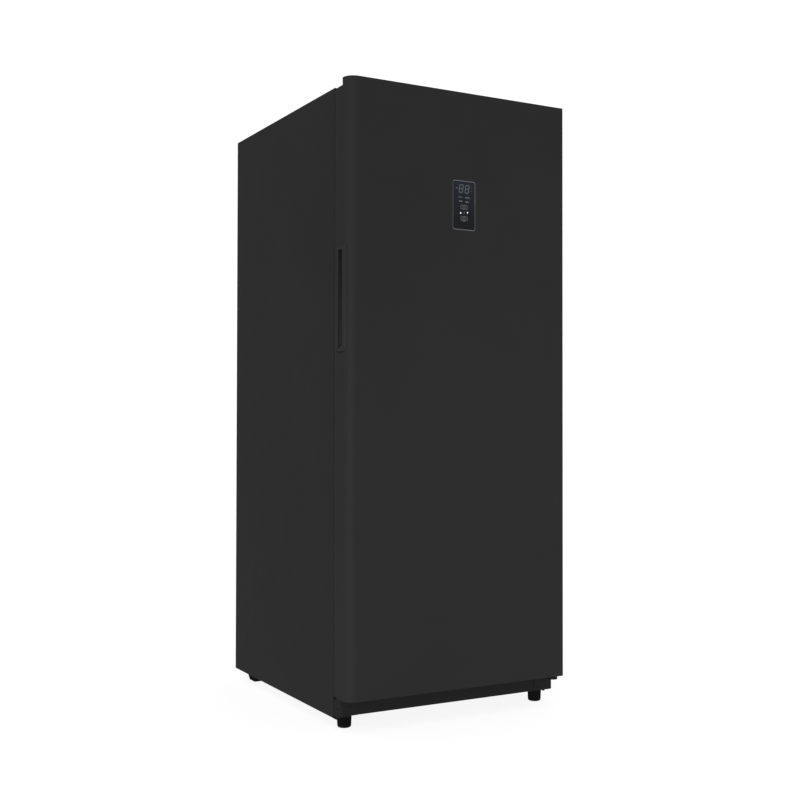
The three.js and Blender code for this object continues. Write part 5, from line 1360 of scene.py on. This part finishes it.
@dataclass
class Cavity:
    """Fine parts of the inside: ribs of the bins and the basket, and the lamp's chips."""

    bins: int = 4
    bin_ribs: Ribs = Ribs(11, 34.0, 1.4, 1.3, 14, 22, (-0.2, 1.0))
    basket_ribs: Ribs = Ribs(13, 30.0, 1.6, 1.5, 18, 26, (-1.2, 0.2))
    basket_wall: float = 9.0
    chips: int = 8
    chip_pitch: float = 20.0
    chip_half: Point = (2.5, 2.0)
    chip_depths: Point = (2.6, 1.4)
    chip_bevel: float = 0.4

    def build(self, finishes: Finishes) -> None:
        """Builds the ribs and the lamp's strip.

        Args:
            finishes: The materials by name.
        """
        clear = finishes["clear_plastic"]
        for i in range(1, self.bins + 1):
            low, high = edges_of(f"door_bin_{i}")
            self.bin_ribs.shape(low, high, high[1]).piece(f"bin_ribs_{i}", "door", "clear_plastic", clear)
        low, high = edges_of("basket")
        ribs = self.basket_ribs.shape(low, high, low[1] + self.basket_wall)
        ribs.piece("basket_ribs", "basket", "clear_plastic", clear)
        low, high = edges_of("lamp")
        chips = Shaper()
        y = (low[1] + high[1]) / 2
        across, along = self.chip_half
        for x in centred(self.chips, self.chip_pitch):
            chips.box((x - across, x + across), (y - along, y + along),
                      (high[2] - self.chip_depths[0], high[2] - self.chip_depths[1]), self.chip_bevel)
        chips.piece("lamp_chips", "cabinet", "clear_plastic", finishes["lamp_chip"])


@dataclass
class FootThreads:
    """The threads of the levelling feet."""

    pitch: float = 1.5
    radius: float = 4.98
    ridge: float = 0.22
    steps_a_turn: int = 12
    run: Point = (32.0, 2.0)

    def build(self, finishes: Finishes) -> None:
        """Builds one thread on each foot.

        Args:
            finishes: The materials by name.
        """
        for side in ("left", "right"):
            low, high = edges_of(f"levelling_foot_{side}")
            x, y = (low[0] + high[0]) / 2, (low[1] + high[1]) / 2
            start, end = high[2] - self.run[0], high[2] - self.run[1]
            turns = (end - start) / self.pitch
            steps = int(turns * self.steps_a_turn)
            path = []
            for k in range(steps + 1):
                angle = 2 * math.pi * turns * k / steps
                path.append((x + self.radius * math.cos(angle), y + self.radius * math.sin(angle),
                             start + (end - start) * k / steps))
            thread = Shaper().tube(path, self.ridge, 4)
            thread.piece(f"foot_thread_{side}", f"foot_{side}", "rubber", finishes["bright_zinc"])


@dataclass
class BaseSeamShade:
    """A thin black strip over the joint between the kick plate and the hinge bracket: painted shade of the gap
    between them.
    """

    width: float = 1.3
    proud: float = 0.15
    sunk: float = 0.02
    shift: float = 0.5
    margin: float = 0.4
    corner: float = 0.6

    def build(self, finishes: Finishes) -> None:
        """Builds the painted shade strip.

        Args:
            finishes: The materials by name.
        """
        plate_low, plate_high = edges_of("kick_plate")
        bracket_low, bracket_high = edges_of("hinge_bracket_lower")
        middle = (plate_high[0] + bracket_low[0]) / 2 - self.shift
        outline = rounded(
            (middle - self.width / 2, middle + self.width / 2),
            (plate_low[2] + self.margin, min(plate_high[2], bracket_high[2]) - self.margin), self.corner, 3,
        )
        # Painted shade: a black strip in the joint where the gap's shade falls.
        seam = Shaper().prism(outline, Plane.XZ, plate_low[1] - self.proud, plate_low[1] - self.sunk)
        seam.piece("base_seam_painted_shade", "cabinet", "rubber", finishes["rubber"])


@dataclass
class ToeDarkBand:
    """A thin dark rubber sheet over the lowest part of the left bracket's toe, which makes the toe darker at its
    foot.
    """

    height: float = 5.6
    wall: float = 0.22
    hem: float = 0.02
    sideways: float = 0.1
    sole: float = 0.1

    def build(self, finishes: Finishes) -> None:
        """Builds the sheet from the toe's own form, cut off at its height and widened by its wall.

        Args:
            finishes: The materials by name.
        """
        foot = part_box("corner_bracket_left")[0][2]
        shaper = Shaper()
        toe = shaper.mesh
        toe.from_mesh(frame["nodes"]["corner_bracket_left"].data)
        geometry = toe.verts[:] + toe.edges[:] + toe.faces[:]
        cut = bmesh.ops.bisect_plane(
            toe, geom=geometry, plane_co=(0.0, 0.0, foot + self.height * MM), plane_no=(0.0, 0.0, 1.0),
            clear_outer=True,
        )
        bmesh.ops.edgenet_fill(toe, edges=[e for e in cut["geom_cut"] if isinstance(e, bmesh.types.BMEdge)])
        toe.normal_update()
        for vert in toe.verts:
            away = Vector((vert.normal.x, vert.normal.y, 0.0))
            vert.co += away.normalized() * self.wall * MM if away.length > self.sideways else Vector()
            if vert.co.z < foot + self.sole * MM:
                vert.co.z -= self.hem * MM
        # A dark band over the toe's foot; it makes the bracket darker towards the floor.
        shaper.piece("toe_dark_band", "cabinet", "rubber", finishes["rubber"])


@dataclass
class BackFittings:
    """The plugs of the foaming holes on the back."""

    sink: float = 1.2
    across: float = 262.0
    rises: Point = (420, 1380)
    plug: tuple[Point, ...] = ((15, 0), (15, 0.5), (13.6, 1.0), (9, 1.0), (8.6, 0.6))

    def build(self, finishes: Finishes) -> None:
        """Builds the plugs.

        Args:
            finishes: The materials by name.
        """
        face = edges_of("back_panel")[1][1] - self.sink
        shaper = Shaper()
        for z in self.rises:
            for x in (-self.across, self.across):
                shaper.turned(self.plug, (x, face, z), (0, 1, 0), 32)
        shaper.piece("foaming_plugs", "cabinet", "trim_plastic", finishes["trim_plastic"])


# ---- Studio --------------------------------------------------------------------------------------------


@dataclass
class Studio:
    """A pale floor, soft light from above, and the camera of the picture."""

    place: Spot = (-1.5363, -2.8208, 0.7423)
    yaw: float = 28.98
    pitch: float = 0.98
    roll: float = 0.094
    lens: float = 52.4475
    sky: float = 1.08
    gloss_front: float = 0.8
    gloss_back: float = 0.16
    gloss_corner: float = 1.05
    gloss_fall: float = 0.5
    corner_aim: Spot = (-0.866, -0.5, 0.0)
    floor_glow: float = 0.88
    floor_half: float = 60.0
    softboxes: tuple[tuple[str, Spot, float], ...] = (
        ("softbox_left", (-3.2, -2.4, 0.6), 8.0), ("softbox_front", (1.8, -3.8, 0.6), 5.0)
    )
    softbox_aim: Spot = (0, 0, 0.5)
    softbox_size: float = 1.0

    def build(self) -> None:
        """Builds the camera, the floor and the lights."""
        self._camera()
        self._floor()
        self._surround()
        self._lights()
        view = bpy.context.scene.view_settings
        view.view_transform = "Standard"
        view.look = "None"

    def _camera(self) -> None:
        """Sets the camera by its turn, tilt and roll."""
        data = bpy.data.cameras.new("picture_camera")
        data.lens = self.lens
        data.sensor_width = 36.0
        data.clip_end = 200.0
        camera = bpy.data.objects.new("picture_camera", data)
        yaw, pitch, roll = (math.radians(a) for a in (self.yaw, self.pitch, self.roll))
        ahead = Vector((math.sin(yaw) * math.cos(pitch), math.cos(yaw) * math.cos(pitch), math.sin(pitch)))
        right = Vector((math.cos(yaw), -math.sin(yaw), 0.0))
        up = right.cross(ahead)
        across = right * math.cos(roll) + up * math.sin(roll)
        upright = up * math.cos(roll) - right * math.sin(roll)
        turn = Matrix((across, upright, -ahead)).transposed().to_4x4()
        camera.matrix_world = Matrix.Translation(Vector(self.place)) @ turn
        bpy.context.scene.collection.objects.link(camera)
        bpy.context.scene.camera = camera
        LOG.info("camera at %s", self.place)

    def _floor(self) -> None:
        """Lays a wide pale floor."""
        data = bpy.data.meshes.new("studio_floor")
        half = self.floor_half
        spots = [(-half, -half, 0), (half, -half, 0), (half, half, 0), (-half, half, 0)]
        data.from_pydata(spots, [], [(0, 1, 2, 3)])
        floor = bpy.data.objects.new("studio_floor", data)
        made = bpy.data.materials.new("studio_floor")
        made.use_nodes = True
        sheet = NodeSheet(made.node_tree)
        shader = made.node_tree.nodes["Principled BSDF"]
        noise = sheet.add("TexNoise", in_Vector=sheet.place(), in_Scale=0.6, in_Detail=3.0)
        sheet.feed(shader, {
            "Base Color": sheet.mix(noise.outputs["Fac"], (0.14, 0.14, 0.14), (0.16, 0.16, 0.16)),
            "Roughness": 0.9,
            "Specular IOR Level": 0.1,
            "Emission Color": (1.0, 1.0, 1.0, 1.0),
            "Emission Strength": self.floor_glow,
        })
        data.materials.append(made)
        floor.visible_glossy = False
        bpy.context.scene.collection.objects.link(floor)

    def _surround(self) -> None:
        """Sets a white surround whose gloss light is strongest in front and fades towards the back."""
        world = bpy.data.worlds.new("studio")
        world.use_nodes = True
        sheet = NodeSheet(world.node_tree)
        back = world.node_tree.nodes["Background"]
        back.inputs["Color"].default_value = (1.0, 1.0, 1.0, 1.0)
        ahead = sheet.add("TexCoord").outputs["Generated"]
        depth = sheet.add("SeparateXYZ", in_Vector=ahead).outputs["Y"]
        front = sheet.add("MapRange", in_Value=depth, in_From_Min=-1.0, in_From_Max=1.0,
                          in_To_Min=self.gloss_front, in_To_Max=self.gloss_back)
        corner = sheet.add("VectorMath", operation="DOT_PRODUCT", in_0=ahead, in_1=self.corner_aim)
        lit = sheet.math("MULTIPLY", sheet.math("MAXIMUM", corner.outputs["Value"], 0.0), self.gloss_corner)
        height = sheet.add("SeparateXYZ", in_Vector=ahead).outputs["Z"]
        falling = sheet.math("SUBTRACT", 1.0, sheet.math("MULTIPLY", height, self.gloss_fall))
        gloss = sheet.math("MULTIPLY", sheet.math("ADD", front.outputs["Result"], lit), falling)
        kind = sheet.add("LightPath").outputs["Is Glossy Ray"]
        share = sheet.math("MULTIPLY", kind, sheet.math("SUBTRACT", gloss, self.sky))
        sheet.feed(back, {"Strength": sheet.math("ADD", share, self.sky)})
        bpy.context.scene.world = world

    def _lights(self) -> None:
        """Hangs two weak softboxes that shape the door's rounded edge."""
        for name, spot, power in self.softboxes:
            data = bpy.data.lights.new(name, "AREA")
            data.shape = "SQUARE"
            data.size = self.softbox_size
            data.energy = power
            lamp = bpy.data.objects.new(name, data)
            lamp.location = spot
            lamp.rotation_euler = (Vector(self.softbox_aim) - Vector(spot)).to_track_quat("-Z", "Y").to_euler()
            bpy.context.scene.collection.objects.link(lamp)


# ---- Making --------------------------------------------------------------------------------------------


def dress_solids(finishes: Finishes) -> None:
    """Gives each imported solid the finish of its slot.

    Args:
        finishes: The materials by name.
    """
    slots = {part["node"]: part["material_slot"] for part in frame["record"]["subparts"]}
    for node, solid in frame["nodes"].items():
        finish = finishes[slots[node]]
        if not solid.material_slots:
            solid.data.materials.append(finish)
        for place in solid.material_slots:
            place.material = finish
        LOG.info("solid %s has the finish %s", node, slots[node])


def main() -> None:
    """Builds the finishes, the pieces and the studio, in that order."""
    logging.basicConfig(level=logging.INFO, format="%(name)s: %(message)s")
    effects = Effects()
    effects.build()
    finishes = {finish.name: finish.material(effects) for finish in FINISHES}
    Studio().build()
    dress_solids(finishes)
    for maker in (Fasteners(), DisplayMarks(), DoorSeal(), HandleShadowStrip(), ColdAirUnit(), MachineBay(), Cavity(),
                  FootThreads(), BaseSeamShade(), ToeDarkBand(), BackFittings()):
        maker.build(finishes)
        LOG.info("made %s", type(maker).__name__)


if __name__ == "__main__":
    main()
